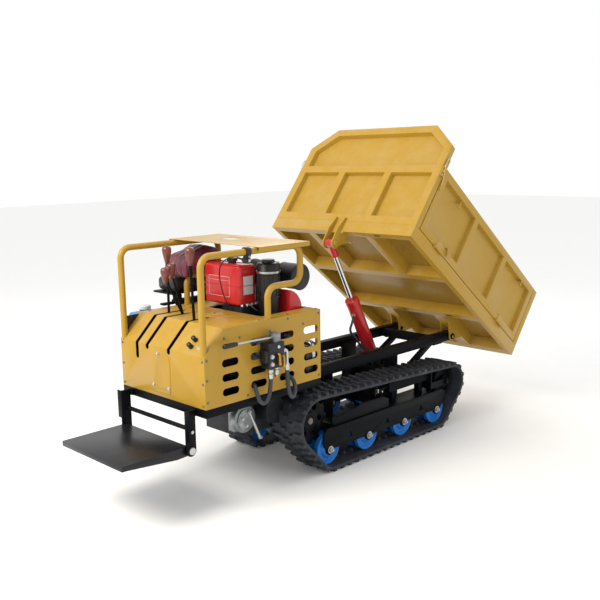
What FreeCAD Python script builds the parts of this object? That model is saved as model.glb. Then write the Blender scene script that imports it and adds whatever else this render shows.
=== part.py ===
import FreeCAD
import Part
import os
import math

os.makedirs("parts", exist_ok=True)

V = FreeCAD.Vector

# Driving dimensions, millimetres. X runs from the operator's end to the dumping end, Z is up.
# Stations along X are counted from the cab's front panel.
centre_x = 1306.0          # station of the machine's middle, where the origin sits

cab_length = 892.0
cab_width = 765.0
cab_floor_z = 603.0
cab_deck_z = 1022.0
fold_z = 885.0             # top of the upright part of the front panel
slope_run = 140.0
sheet = 3.0

rail_tube_r = 18.5
rail_inset = 22.5          # handrail centre plane, in from the hull's side
rail_top_z = 1410.0

track_outer_y = 440.0
track_width = 240.0
band = 18.0                # rubber band without its lugs
lug = 17.0
lug_count = 54
sprocket_x, sprocket_z, sprocket_r = 835.0, 335.0, 185.0
idler_x, idler_z, idler_r = 2215.0, 305.0, 150.0
roller_z = 135.0
roller_stations = (955.0, 1328.0, 1701.0, 2075.0)

chassis_rail_y = 230.0
chassis_rail_w = 50.0
chassis_top_z = 620.0
chassis_rail_h = 66.0
chassis_end_x = 2450.0

pivot_x, pivot_z = 2445.0, 582.0
tilt_deg = 37.8
bed_front = -1287.0        # headboard's outer face, from the pivot along the bed
bed_length = 1586.0
bed_width = 1211.0
bed_under = 58.5           # underside of the bed frame, above the pivot
headboard_h = 848.0
side_h = 535.0             # bed underside to gate top
floor_rail_h = 81.0
gate_t = 36.0

ram_base_x, ram_base_z = 1850.0, 500.0
clevis_rest = (1410.0, 1343.0)
barrel_r = 46.0
rod_r = 16.0
barrel_l = 495.0

gap = 5.0                  # between pieces that move past one another
fit_gap = 0.3              # between round faces that meet

bed_back = bed_front + bed_length
bed_half = bed_width / 2.0
track_mid_y = track_outer_y - track_width / 2.0
cab_half = cab_width / 2.0
rail_y = cab_half - rail_inset


def emit(name, shape):
    placed = shape.copy()
    placed.translate(V(-centre_x, 0.0, 0.0))
    placed.exportStep("parts/" + name + ".step")


def block(x0, x1, y0, y1, z0, z1):
    return Part.makeBox(x1 - x0, y1 - y0, z1 - z0, V(x0, y0, z0))


def rod_x(x0, x1, y, z, r):
    return Part.makeCylinder(r, x1 - x0, V(x0, y, z), V(1, 0, 0))


def rod_y(y0, y1, x, z, r):
    return Part.makeCylinder(r, y1 - y0, V(x, y0, z), V(0, 1, 0))


def rod_z(z0, z1, x, y, r):
    return Part.makeCylinder(r, z1 - z0, V(x, y, z0), V(0, 0, 1))


def rod_between(a, b, r):
    return Part.makeCylinder(r, (b - a).Length, a, b - a)


def fuse(shapes):
    result = shapes[0]
    if len(shapes) > 1:
        result = shapes[0].fuse(shapes[1:])
    return result.removeSplitter()


def cut(shape, tools):
    return shape.cut(Part.makeCompound(tools)).removeSplitter()


def plate_xz(points, y0, y1):
    # A flat plate drawn in the side view and given its thickness across the machine.
    corners = [V(x, y0, z) for x, z in points]
    face = Part.Face(Part.makePolygon(corners + corners[:1]))
    return face.extrude(V(0, y1 - y0, 0))


def plate_yz(points, x0, x1):
    corners = [V(x0, y, z) for y, z in points]
    face = Part.Face(Part.makePolygon(corners + corners[:1]))
    return face.extrude(V(x1 - x0, 0, 0))


def corner_path(points, bend):
    # Straight runs joined by arcs of the given centreline radius.
    edges = []
    start = points[0]
    for i in range(1, len(points) - 1):
        here = points[i]
        before = (points[i - 1] - here).normalize()
        after = (points[i + 1] - here).normalize()
        half = math.acos(max(-1.0, min(1.0, before.dot(after)))) / 2.0
        reach = bend / math.tan(half)
        enter = here + before * reach
        leave = here + after * reach
        middle = (before + after).normalize()
        crown = here + middle * (bend / math.sin(half) - bend)
        edges.append(Part.makeLine(start, enter))
        edges.append(Part.Arc(enter, crown, leave).toShape())
        start = leave
    edges.append(Part.makeLine(start, points[-1]))
    return Part.Wire(edges)


def sweep(path, r, wall=0.0):
    start = path.Edges[0].valueAt(path.Edges[0].FirstParameter)
    heading = path.Edges[0].tangentAt(path.Edges[0].FirstParameter)
    ring = Part.Wire(Part.makeCircle(r, start, heading))
    solid = path.makePipeShell([ring], True, False)
    if wall > 0.0:
        inner = Part.Wire(Part.makeCircle(r - wall, start, heading))
        solid = solid.cut(path.makePipeShell([inner], True, False))
    return solid


def smooth_hose(points, r):
    curve = Part.BSplineCurve()
    curve.interpolate([V(*p) for p in points])
    return sweep(Part.Wire(curve.toShape()), r)


def rounded_block(x0, x1, y0, y1, z0, z1, r):
    solid = block(x0, x1, y0, y1, z0, z1)
    return solid.makeFillet(r, solid.Edges)


# Hull

def slot_tool(x, z, y0, y1, length, height):
    end = length / 2.0 - height / 2.0
    r = height / 2.0
    middle = block(x - end, x + end, y0, y1, z - r, z + r)
    return fuse([middle, rod_y(y0, y1, x - end, z, r), rod_y(y0, y1, x + end, z, r)])


def hood_side(y0, y1):
    outline = [(0, cab_floor_z), (cab_length, cab_floor_z), (cab_length, cab_deck_z),
               (slope_run, cab_deck_z), (0, fold_z)]
    panel = plate_xz(outline, y0, y1)
    tools = []
    for row, z in enumerate((912.0, 832.0, 752.0, 672.0)):
        for column, x in enumerate((180.0, 387.0, 607.0, 808.0)):
            if row == 0 and column == 0:
                continue
            tools.append(slot_tool(x, z, y0 - 5, y1 + 5, 118.0, 42.0))
    return cut(panel, tools)


side_y = cab_half - sheet
emit("hood_side_right", hood_side(-cab_half, -side_y))
emit("hood_side_left", hood_side(side_y, cab_half))

slot_w = 28.0
slot_ys = (220.0, 122.0, -75.0)
slot_low_z = (806.0, 873.0, 871.0)
slot_deck_x = (345.0, 300.0, 285.0)

front = block(0, sheet, -side_y, side_y, cab_floor_z, fold_z)
front_tools = []
for y, z in zip(slot_ys, slot_low_z):
    front_tools.append(block(-5, 10, y - slot_w / 2, y + slot_w / 2, z, fold_z + 5))
    front_tools.append(rod_x(-5, 10, y, z, slot_w / 2))
front = cut(front, front_tools)
cover_r = 85.0             # round ends of the plate in the middle of the front
cover = fuse([block(-sheet, 0, -cover_r, cover_r, 663, 800), rod_x(-sheet, 0, 0, 800, cover_r),
              rod_x(-sheet, 0, 0, 663, cover_r)])
cover = cover.common(block(-sheet, 0, -110, 110, 625, 878))
cover_bolts = [rod_x(-8, -sheet, y, z, 8) for y, z in ((21, 849), (70, 663), (-70, 663))]
front = fuse([front, cover] + cover_bolts)
emit("hood_front", front)

slope = plate_xz([(0, fold_z), (slope_run, cab_deck_z), (slope_run, cab_deck_z - 4.3), (4.4, fold_z)],
                 -side_y, side_y)
slope_tools = [block(-20, slope_run + 20, y - slot_w / 2, y + slot_w / 2, fold_z - 20, cab_deck_z + 20)
               for y in slot_ys]
slope_parts = slope.cut(Part.makeCompound(slope_tools))
emit("hood_slope", slope_parts)

engine_x0, engine_x1 = 505.0, 872.0
engine_y0, engine_y1 = -284.0, 185.0
deck = block(slope_run, cab_length, -side_y, side_y, cab_deck_z - sheet, cab_deck_z)
deck_tools = [block(engine_x0, engine_x1, engine_y0, engine_y1, cab_deck_z - 20, cab_deck_z + 20)]
for y, x in zip(slot_ys, slot_deck_x):
    deck_tools.append(block(slope_run - 5, x, y - slot_w / 2, y + slot_w / 2,
                            cab_deck_z - 20, cab_deck_z + 20))
    deck_tools.append(rod_z(cab_deck_z - 20, cab_deck_z + 20, x, y, slot_w / 2))
emit("hood_deck", cut(deck, deck_tools))
rear = block(cab_length - sheet, cab_length, -side_y, side_y, cab_floor_z, cab_deck_z - sheet)
rear_rim = 40.0            # sheet left round the opening behind the last column of vents
rear_open = block(cab_length - 10, cab_length + 5, -side_y + rear_rim, -200,
                  cab_floor_z + rear_rim, cab_deck_z - rear_rim)
emit("hood_rear", rear.cut(rear_open))


def slope_z(x):
    # Height of the sloping panel's face, with a hair's breadth over it for what stands on it.
    return fold_z + (cab_deck_z - fold_z) * x / slope_run + fit_gap


# Handrails: one bent tube a side, standing on the slope's edge and on the deck.
def handrail(side):
    foot_z = fold_z - 20.0
    post_x = 747.0
    low_z = 1198.0
    rear_x = 485.0
    points = [V(14, 0, foot_z), V(14, 0, rail_top_z), V(post_x, 0, rail_top_z), V(post_x, 0, low_z),
              V(rear_x, 0, low_z), V(rear_x, 0, cab_deck_z)]
    tube = sweep(corner_path(points, 62.0), rail_tube_r, 3.0)
    tube.translate(V(0, side * rail_y, 0))
    under = plate_xz([(-60, slope_z(-60)), (100, slope_z(100)), (100, 700), (-60, 700)], -500, 500)
    return tube.cut(under)


emit("handrail_right", handrail(-1))
emit("handrail_left", handrail(1))

# Canopy plate with turned-down rims, lying on the two top tubes.
canopy_z = rail_top_z + rail_tube_r + fit_gap
canopy_x0, canopy_x1 = 395.0, 790.0
canopy_half = cab_half + 17.5
canopy = block(canopy_x0, canopy_x1, -canopy_half, canopy_half, canopy_z, canopy_z + sheet)
rim = 24.0
canopy_rims = [block(canopy_x0, canopy_x1, -canopy_half, -canopy_half + sheet, canopy_z - rim, canopy_z),
               block(canopy_x0, canopy_x1, canopy_half - sheet, canopy_half, canopy_z - rim, canopy_z)]
canopy = fuse([canopy] + canopy_rims)
canopy_tools = [rod_z(canopy_z - 5, canopy_z + 10, 620, 60, 42),
                rod_z(canopy_z - 5, canopy_z + 10, 620, 120, 42),
                block(578, 662, 60, 120, canopy_z - 5, canopy_z + 10),
                block(690, 702, 20, 190, canopy_z - 5, canopy_z + 10)]
emit("canopy", cut(canopy, canopy_tools))

# Power pack: a block of its real size carrying the tank, the air filter, the exhaust and the fan cover.
block_top = 1040.0
engine = [block(530, 845, -120, 150, cab_floor_z + 22, 960), block(560, 800, -60, 110, 960, block_top),
          block(520, 860, -150, 165, cab_floor_z, cab_floor_z + 22)]
fins = [block(552, 808, -68, 118, z, z + 5) for z in (970, 984, 998, 1012, 1026)]
emit("engine_block", fuse(engine + fins))

tank_x0, tank_x1 = 530.0, 668.0
tank_y0, tank_y1 = -77.0, 245.0
tank_z0, tank_z1 = 1046.0, 1290.0
tank = rounded_block(tank_x0, tank_x1, tank_y0, tank_y1, tank_z0, tank_z1, 22.0)
neck = rod_z(tank_z1 - 4, tank_z1 + 12, 600, 60, 24)
cap = rod_z(tank_z1 + 12, tank_z1 + 30, 600, 60, 32)
tank_feet = [block(575, 625, -40, -10, block_top, tank_z0 + 20),
             block(575, 625, 70, 100, block_top, tank_z0 + 20)]
emit("fuel_tank", fuse([tank, neck, cap] + tank_feet))

filter_x, filter_y, filter_r = 695.0, -152.0, 71.0
filter_can = fuse([rod_z(990, 1240, filter_x, filter_y, filter_r - 4),
                   rod_z(1100, 1112, filter_x, filter_y, filter_r),
                   rod_z(1240, 1300, filter_x, filter_y, filter_r),
                   rod_z(1300, 1318, filter_x, filter_y, 40)])
filter_arm = block(filter_x - 18, filter_x + 18, filter_y, -68, 975, 995)
emit("air_filter", fuse([filter_can, filter_arm]))

muffler_x, muffler_z, muffler_r = 855.0, 1205.0, 80.0
muffler = fuse([rod_y(-262, 150, muffler_x, muffler_z, muffler_r - 3),
                rod_y(-268, -252, muffler_x, muffler_z, muffler_r),
                rod_y(134, 150, muffler_x, muffler_z, muffler_r),
                rod_y(-120, -96, muffler_x, muffler_z, muffler_r),
                rod_z(block_top, 1150, 780, 60, 20)])
muffler_neck = rod_between(V(780, 60, 1140), V(830, 60, 1180), 20)
emit("muffler", fuse([muffler, muffler_neck]))

fan_y0, fan_y1 = -255.0, -122.0
fan_lobes = fuse([rod_y(fan_y0, fan_y1, 740, 1010, 130), rod_y(fan_y0, fan_y1, 828, 985, 60)])
fan_keep = block(filter_x + filter_r + gap, engine_x1 - gap, fan_y0, fan_y1, 890, 1200)
emit("fan_cover", fan_lobes.common(fan_keep))

# Hand levers in forks on one shaft under the deck; their knobs are turned wood.
knob_r = 27.0


def knob(x, y, z0, z1):
    profile = [V(0, 0, z0), V(13, 0, z0), V(knob_r, 0, z1 - 26), V(knob_r - 2, 0, z1 - 8),
               V(15, 0, z1), V(0, 0, z1)]
    face = Part.Face(Part.makePolygon(profile + profile[:1]))
    turned = face.revolve(V(0, 0, 0), V(0, 0, 1), 360)
    turned.translate(V(x, y, 0))
    return turned


shaft_foot_z = cab_floor_z + 120.0
levers = [rod_between(V(233, 220, shaft_foot_z), V(239, 220, 1340), 8), knob(239, 220, 1312, 1414),
          rod_between(V(198, -76, shaft_foot_z), V(183, -66, 1350), 8), knob(183, -66, 1327, 1429)]
levers += [rod_between(V(285, 122, shaft_foot_z), V(285, 122, 985), 7),
           rod_between(V(285, 115.5, 980), V(137, 108, 1250), 5.5), knob(137, 106, 1218, 1308),
           rod_between(V(285, 128.5, 980), V(204, 134, 1262), 5.5), knob(204, 136, 1234, 1324)]
lever_bar = rod_y(-110, 240, 260, shaft_foot_z, 11)
lever_arms = [block(195, 285, y - 6, y + 6, shaft_foot_z - 8, shaft_foot_z + 8) for y in slot_ys]
lever_posts = [block(250, 270, y - 5, y + 5, cab_floor_z, shaft_foot_z) for y in (-105, 170, 235)]
lever_sill = block(245, 275, -115, 245, cab_floor_z, cab_floor_z + 6)
lever_group = fuse(levers + [lever_bar, lever_sill] + lever_arms + lever_posts)

switches = fuse([block(58, 92, -300, -270, 938, 945), rod_z(945, 985, 68, -285, 11), rod_z(945, 998, 86, -285, 10)])
switch_tool = plate_xz([(-100, slope_z(-100)), (200, slope_z(200)), (200, 700), (-100, 700)], -400, 400)
switch_base = block(56, 96, -302, -268, 900, 975)
emit("hand_levers", Part.makeCompound([lever_group, fuse([switches, switch_base]).cut(switch_tool)]))

clamp_z = rail_top_z
throttle = fuse([rod_x(318, 352, -rail_y, clamp_z, rail_tube_r + 7),
                 block(322, 348, -rail_y - 12, -rail_y + 12, clamp_z - 52, clamp_z - 20),
                 rod_y(-rail_y - 22, -rail_y + 22, 335, clamp_z - 46, 15)])
throttle = throttle.cut(rod_x(300, 370, -rail_y, clamp_z, rail_tube_r + fit_gap))
throttle_lever = rod_between(V(335, -rail_y + 16, clamp_z - 46), V(282, -rail_y + 16, clamp_z - 28), 5)
emit("throttle_clamp", fuse([throttle, throttle_lever]))
cable = smooth_hose([(354, -rail_y + 4, clamp_z - 46), (430, 60 - rail_y, clamp_z - 30), (470, -220, clamp_z - 40),
                     (440, -60, 1345), (470, 40, 1260), (500, 40, 1120), (525, 20, 1046), (535, 10, 975)], 3.5)
emit("throttle_cable", cable)

# Seat beyond the far handrail.
seat_y0 = cab_half + 15.5
seat_y1 = seat_y0 + 202.0
cushion = rounded_block(410, 730, seat_y0, seat_y1, 1096, 1186, 26.0)
emit("seat_cushion", cushion)
back_outline = [(404, 1190), (446, 1190), (464, 1221), (684, 1221), (710, 1366), (640, 1384), (420, 1310)]
seat_back = plate_xz(back_outline, seat_y0 - 130, seat_y0 + 118)
seat_back = seat_back.makeFillet(14.0, seat_back.Edges)
emit("seat_back", seat_back)
stand_y0, stand_y1 = seat_y0 - 6.0, seat_y0 + 38.0
stand = fuse([block(400, 740, seat_y0 + 4, seat_y1 - 6, 1084, 1096),
              block(330, 470, stand_y0, stand_y1, 1028, 1040),
              block(420, 700, stand_y0, stand_y1, 1040, 1052), block(430, 470, stand_y0, stand_y1, 1052, 1084),
              block(640, 680, stand_y0, stand_y1, 1052, 1084), block(440, 690, cab_half, stand_y0, 900, 1052),
              block(420, 700, stand_y0, seat_y0, 960, 1052)])

# Hydraulic oil tank hung outside the far panel.
oil_x0, oil_x1, oil_y1 = 150.0, 330.0, cab_half + 137.5
oil_cap_y = oil_y1 - 55.0
oil = rounded_block(oil_x0, oil_x1, cab_half + 6, oil_y1, 850, 1000, 18.0)
oil_neck = fuse([rod_z(998, 1014, 235, oil_cap_y, 30), rod_z(1014, 1040, 235, oil_cap_y, 40)])
oil_shelf = [block(oil_x0 - 10, oil_x1 + 10, cab_half, oil_y1 + 5, 838, 850),
             block(oil_x0 - 10, oil_x1 + 10, cab_half, cab_half + 6, 850, 940)]
emit("oil_tank", fuse([oil, oil_neck]))
emit("left_brackets", Part.makeCompound([stand, fuse(oil_shelf)]))

# Directional valve on the near panel.
valve_y0, valve_y1 = -cab_half - 83.5, -cab_half - 13.5
valve_y = (valve_y0 + valve_y1) / 2.0
valve = fuse([block(392, 508, valve_y0, valve_y1, 762, 905), block(372, 520, valve_y0 + 8, valve_y1 - 8, 800, 868),
              rod_y(valve_y0 - 8, valve_y0, 410, 790, 11), rod_y(valve_y0 - 8, valve_y0, 410, 832, 11),
              rod_y(valve_y0 - 8, valve_y0, 462, 880, 9)])
valve_back = block(400, 500, valve_y1, -cab_half, 780, 900)
lever_head = fuse([block(440, 490, valve_y - 25, valve_y + 25, 905, 953), rod_x(180, 440, valve_y, 938, 6.5)])
lever_head = fuse([lever_head, rod_x(92, 190, valve_y, 938, 14)])
elbows = fuse([rod_z(706, 762, 430, valve_y, 15), rod_z(716, 762, 476, valve_y, 15),
               rod_x(508, 545, valve_y - 14, 850, 13), rod_z(742, 850, 545, valve_y - 14, 13),
               rod_x(508, 536, valve_y + 13, 792, 12)])
emit("control_valve", fuse([valve, valve_back, lever_head, elbows]))

hose_r = 12.0
hose_a = smooth_hose([(430, -431, 703), (429, -431, 655), (408, -432, 582), (374, -430, 563), (345, -424, 590),
                      (338, -412, 640), (348, -392, 668), (352, -360, 672), (353, -335, 672)], hose_r)
hose_b = smooth_hose([(545, -445, 739), (546, -445, 690), (556, -446, 600), (586, -444, 552), (616, -438, 585),
                      (626, -425, 635), (620, -400, 666), (608, -370, 672), (604, -340, 672)], hose_r)
emit("valve_hoses", Part.makeCompound([hose_a, hose_b]))

# Base frame under the hull

base_h = 48.0
base_z0 = cab_floor_z - base_h
outer_ring = block(0, cab_length, -cab_half, cab_half, base_z0, cab_floor_z)
inner_ring = block(60, cab_length - 60, -cab_half + 50, cab_half - 50, base_z0 - 5, cab_floor_z + 5)
bearers = [block(500, 550, -cab_half + 50, cab_half - 50, base_z0, cab_floor_z),
           block(60, cab_length - 60, -150, -100, base_z0, cab_floor_z),
           block(60, cab_length - 60, 115, 165, base_z0, cab_floor_z)]
pan = block(50, cab_length - 50, -cab_half + 40, cab_half - 40, base_z0, base_z0 + sheet)
emit("base_frame", fuse([outer_ring.cut(inner_ring), pan] + bearers))

# Transmission between the tracks, with the drive axle through it.
axle_r = 24.0
casing = fuse([block(430, 800, -150, 150, 290, 540), rod_y(-160, 160, sprocket_x, sprocket_z, 110),
               block(470, 780, -130, 130, 540, base_z0)])
casing_ribs = [block(x, x + 8, -160, 160, 280, 530) for x in (460, 530, 600, 670, 740)]
casing = fuse([casing] + casing_ribs).cut(rod_y(-200, 200, sprocket_x, sprocket_z, axle_r + fit_gap))
emit("gearbox", casing)
hub_y = 286.0
axle = rod_y(-hub_y - 64, hub_y + 64, sprocket_x, sprocket_z, axle_r)
seal_r = 62.0
seals = [rod_y(-184, -160 - fit_gap, sprocket_x, sprocket_z, seal_r),
         rod_y(160 + fit_gap, 184, sprocket_x, sprocket_z, seal_r)]
emit("drive_axle", fuse([axle] + seals))
drum = fuse([rod_y(-196, -150, 440, 410, 82), rod_y(-204, -196, 440, 410, 60),
             block(395, 485, -150, -100, 330, 520)])
drum = drum.cut(block(430, 800, -150, 150, 290, 540)).cut(Part.makeCompound(casing_ribs))
drum_arm = rod_between(V(465, -200, 445), V(551, -200, 271), 7)
emit("brake_drum", fuse([drum, drum_arm]))

# Tracks


def unit(x, z):
    size = math.hypot(x, z)
    return x / size, z / size


def loop_wire(circles, y):
    # Tight loop round the wheels, anticlockwise seen from the near side.
    count = len(circles)
    normals = []
    for i in range(count):
        ax, az, ar = circles[i]
        bx, bz, br = circles[(i + 1) % count]
        dist = math.hypot(bx - ax, bz - az)
        dx, dz = unit(bx - ax, bz - az)
        along = (ar - br) / dist
        out = math.sqrt(1.0 - along * along)
        normals.append((dx * along + dz * out, dz * along - dx * out))
    edges = []
    for i in range(count):
        ax, az, ar = circles[i]
        bx, bz, br = circles[(i + 1) % count]
        nx, nz = normals[i]
        mx, mz = normals[(i + 1) % count]
        begin = V(ax + ar * nx, y, az + ar * nz)
        end = V(bx + br * nx, y, bz + br * nz)
        edges.append(Part.makeLine(begin, end))
        cx, cz = unit(nx + mx, nz + mz)
        leave = V(bx + br * mx, y, bz + br * mz)
        edges.append(Part.Arc(end, V(bx + br * cx, y, bz + br * cz), leave).toShape())
    return Part.Wire(edges)


def wheel_circles(inset):
    r = roller_z - inset
    return [(roller_stations[0], roller_z, r), (roller_stations[-1], roller_z, r),
            (idler_x, idler_z, idler_r - inset), (sprocket_x, sprocket_z, sprocket_r - inset)]


def track(side):
    y0 = side * track_mid_y - track_width / 2.0
    root = Part.Face(loop_wire(wheel_circles(lug), y0)).extrude(V(0, track_width, 0))
    inside = Part.Face(loop_wire(wheel_circles(lug + band), y0)).extrude(V(0, track_width, 0))
    pieces = [root.cut(inside)]
    path = loop_wire(wheel_circles(lug), y0)
    stations = path.discretize(Number=4 * lug_count + 1)
    lug_l = 38.0
    for row in range(2):
        low = y0 + row * track_width / 2.0
        for i in range(lug_count):
            k = 4 * i + 2 * row
            here = stations[k]
            ahead = stations[k + 1] - stations[k - 1 if k > 0 else -2]
            angle = math.degrees(math.atan2(ahead.z, ahead.x))
            shoe = Part.makeBox(lug_l, track_width / 2.0, lug + 4.0, V(-lug_l / 2.0, 0, -lug))
            shoe.rotate(V(0, 0, 0), V(0, 1, 0), -angle)
            shoe.translate(V(here.x, low, here.z))
            pieces.append(shoe)
    loop = pieces[0].fuse(pieces[1:])
    floor_cut = block(0, 3000, -600, 600, -60, 0)
    return loop.cut(floor_cut)


emit("track_right", track(-1))
emit("track_left", track(1))

plate_out0, plate_out1 = 390.0, 400.0
plate_in0, plate_in1 = 240.0, 250.0
roller_r = roller_z - lug - band - fit_gap
roller_axle_r = 16.0
idler_wheel_r = idler_r - lug - band - fit_gap
frame_top = 270.0


def side_block(side, x0, x1, y0, y1, z0, z1):
    low, high = sorted((side * y0, side * y1))
    return block(x0, x1, low, high, z0, z1)


def side_rod(side, y0, y1, x, z, r):
    low, high = sorted((side * y0, side * y1))
    return rod_y(low, high, x, z, r)


def rollers(side):
    solids = []
    for x in roller_stations:
        solids.append(fuse([side_rod(side, 352, 384, x, roller_z, roller_r),
                            side_rod(side, 256, 288, x, roller_z, roller_r),
                            side_rod(side, 288, 352, x, roller_z, 70),
                            side_rod(side, 236, 412, x, roller_z, roller_axle_r),
                            side_rod(side, 400 + fit_gap, 406, x, roller_z, 26)]))
    return Part.makeCompound(solids)


def track_frame(side):
    outline = [(900, 165), (925, roller_z), (2110, roller_z), (2180, 200), (2180, 240), (2140, frame_top),
               (930, frame_top), (900, 245)]
    plates = []
    for y0, y1 in ((plate_out0, plate_out1), (plate_in0, plate_in1)):
        low, high = sorted((side * y0, side * y1))
        plates.append(plate_xz(outline, low, high))
        plates += [rod_y(low, high, x, roller_z, 34) for x in roller_stations]
    top = side_block(side, 1020, 2080, plate_in1, plate_out0, frame_top - 10, frame_top)
    low, high = sorted((side * 366, side * 376))
    guard = plate_xz([(1000, frame_top - 5), (1560, frame_top - 5), (1560, 324), (1500, 350), (1292, 350),
                      (1200, 330), (1079, 322), (1000, 322)], low, high)
    holes = [rod_y(-450, 450, x, roller_z, roller_axle_r + fit_gap) for x in roller_stations]
    for a, b in zip(roller_stations, roller_stations[1:]):
        x = (a + b) / 2.0
        holes.append(plate_xz([(x - 22, 172), (x + 22, 172), (x, 212)], -450, 450))
    return cut(fuse(plates + [top, guard]), holes)


def tensioner(side):
    tube = side_block(side, 1600, 2030, 290, 350, 350, 410)
    thread = rod_x(1440, 1600, side * 320, 380, 12)
    nut = rod_x(1470, 1490, side * 320, 380, 22)
    front_stay = side_block(side, 1452, 1466, 295, 345, frame_top, 402)
    feet = [side_block(side, x, x + 40, 300, 340, frame_top, 350) for x in (1640, 1940)]
    yoke = side_block(side, 2030, 2042, 262, 380, 285, 410)
    arms = [side_block(side, 2042, 2245, 262, 272, 285, 330), side_block(side, 2042, 2245, 370, 380, 285, 330)]
    solid = fuse([tube, thread, nut, front_stay, yoke] + feet + arms)
    return solid.cut(rod_y(-450, 450, idler_x, idler_z, 14 + fit_gap))


def idler(side):
    wheel = fuse([side_rod(side, 285, 310, idler_x, idler_z, idler_wheel_r),
                  side_rod(side, 332, 357, idler_x, idler_z, idler_wheel_r),
                  side_rod(side, 310, 332, idler_x, idler_z, idler_wheel_r - 22),
                  side_rod(side, 278, 364, idler_x, idler_z, 34), side_rod(side, 256, 388, idler_x, idler_z, 14),
                  side_rod(side, 380 + fit_gap, 388, idler_x, idler_z, 24)])
    return wheel


def sprocket(side):
    tip_r = sprocket_r - lug - band - fit_gap
    disc = fuse([side_rod(side, 300, 336, sprocket_x, sprocket_z, tip_r),
                 side_rod(side, 288, 348, sprocket_x, sprocket_z, 58)])
    bites = [side_rod(side, 290, 346, sprocket_x + tip_r * math.cos(a), sprocket_z + tip_r * math.sin(a), 21)
             for a in [math.radians(30.0 * k + 15.0) for k in range(12)]]
    windows = [side_rod(side, 290, 346, sprocket_x + 88 * math.cos(a), sprocket_z + 88 * math.sin(a), 20)
               for a in [math.radians(60.0 * k) for k in range(6)]]
    bore = side_rod(side, 280, 352, sprocket_x, sprocket_z, axle_r + fit_gap)
    return disc.cut(Part.makeCompound(bites + windows + [bore]))


for word, side in (("right", -1), ("left", 1)):
    emit("track_wheels_" + word, Part.makeCompound([rollers(side), idler(side)]))
    emit("track_frame_" + word, track_frame(side))
    emit("track_tensioner_" + word, tensioner(side))
    emit("sprocket_" + word, sprocket(side))

# Chassis

rail_in = chassis_rail_y - chassis_rail_w / 2.0
rail_out = chassis_rail_y + chassis_rail_w / 2.0
rail_z0 = chassis_top_z - chassis_rail_h
rail_end = chassis_end_x + 14.0
pivot_pin_r = 15.0
lug_t = 8.0
rails = [side_block(s, cab_length, rail_end, rail_in, rail_out, rail_z0, chassis_top_z) for s in (-1, 1)]
cross = [block(930, 990, -rail_in, rail_in, rail_z0, chassis_top_z),
         block(2220, 2270, -rail_in, rail_in, rail_z0, chassis_top_z - 8)]
pins = [side_rod(s, rail_in - gap - lug_t - 4, rail_out + gap + lug_t + 4, pivot_x, pivot_z, pivot_pin_r)
        for s in (-1, 1)]
heads = [side_rod(s, rail_out + gap + lug_t + 1, rail_out + gap + lug_t + 9, pivot_x, pivot_z, 22) for s in (-1, 1)]
emit("chassis_rails", fuse(rails + cross + pins + heads))

upright_in, upright_out = 183.0, 195.0
uprights = []
for x0, x1 in ((1130, 1210), (1740, 1890)):
    for s in (-1, 1):
        uprights.append(side_block(s, x0, x1, upright_in, upright_out, 180, rail_z0 + 30))
        uprights.append(side_block(s, x0, x1, upright_out, rail_in, rail_z0 - 6, rail_z0 + 30))
cross_tubes = [block(1130, 1210, -plate_in0, plate_in0, 180, 258),
               block(1740, 1820, -plate_in0, plate_in0, 180, 258)]
emit("chassis_cross", fuse(uprights + cross_tubes))
seat_tube = block(1810, 1890, -upright_in, upright_in, 380, 440)
ears = []
for s in (-1, 1):
    ears.append(side_block(s, ram_base_x - 34, ram_base_x + 34, 33, 43, 440, ram_base_z))
    ears.append(side_rod(s, 33, 43, ram_base_x, ram_base_z, 34))
base_pin = rod_y(-52, 52, ram_base_x, ram_base_z, 12.5)
ram_mount = fuse([seat_tube] + ears + [base_pin])
braces = []
for s in (-1, 1):
    low, high = sorted((s * 150, s * 180))
    braces.append(plate_xz([(1890, 300), (1890, 345), (2290, 553), (2380, 553)], low, high))
    braces.append(side_block(s, 2290, 2380, 180, rail_in, rail_z0 - 20, rail_z0 - 1))
    braces.append(side_block(s, 2275, 2380, rail_in, rail_in + 20, rail_z0 - 20, rail_z0))
    braces.append(side_block(s, 1870, 1900, 150, upright_in, 300, 345))
emit("chassis_braces", Part.makeCompound([ram_mount, fuse(braces[:4]), fuse(braces[4:])]))

# Bed, drawn flat with the pivot as its zero and then tipped.


def tipped(shape):
    placed = shape.copy()
    placed.rotate(V(0, 0, 0), V(0, 1, 0), tilt_deg)
    placed.translate(V(pivot_x, 0, pivot_z))
    return placed


sill_w = 40.0
sill_top = bed_under + floor_rail_h
inner_half = bed_half - sill_w
floor_t = 4.0
floor_sheet = block(bed_front + 50, bed_back - 70, -inner_half, inner_half, sill_top - floor_t, sill_top)
emit("bed_floor", tipped(floor_sheet))

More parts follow.
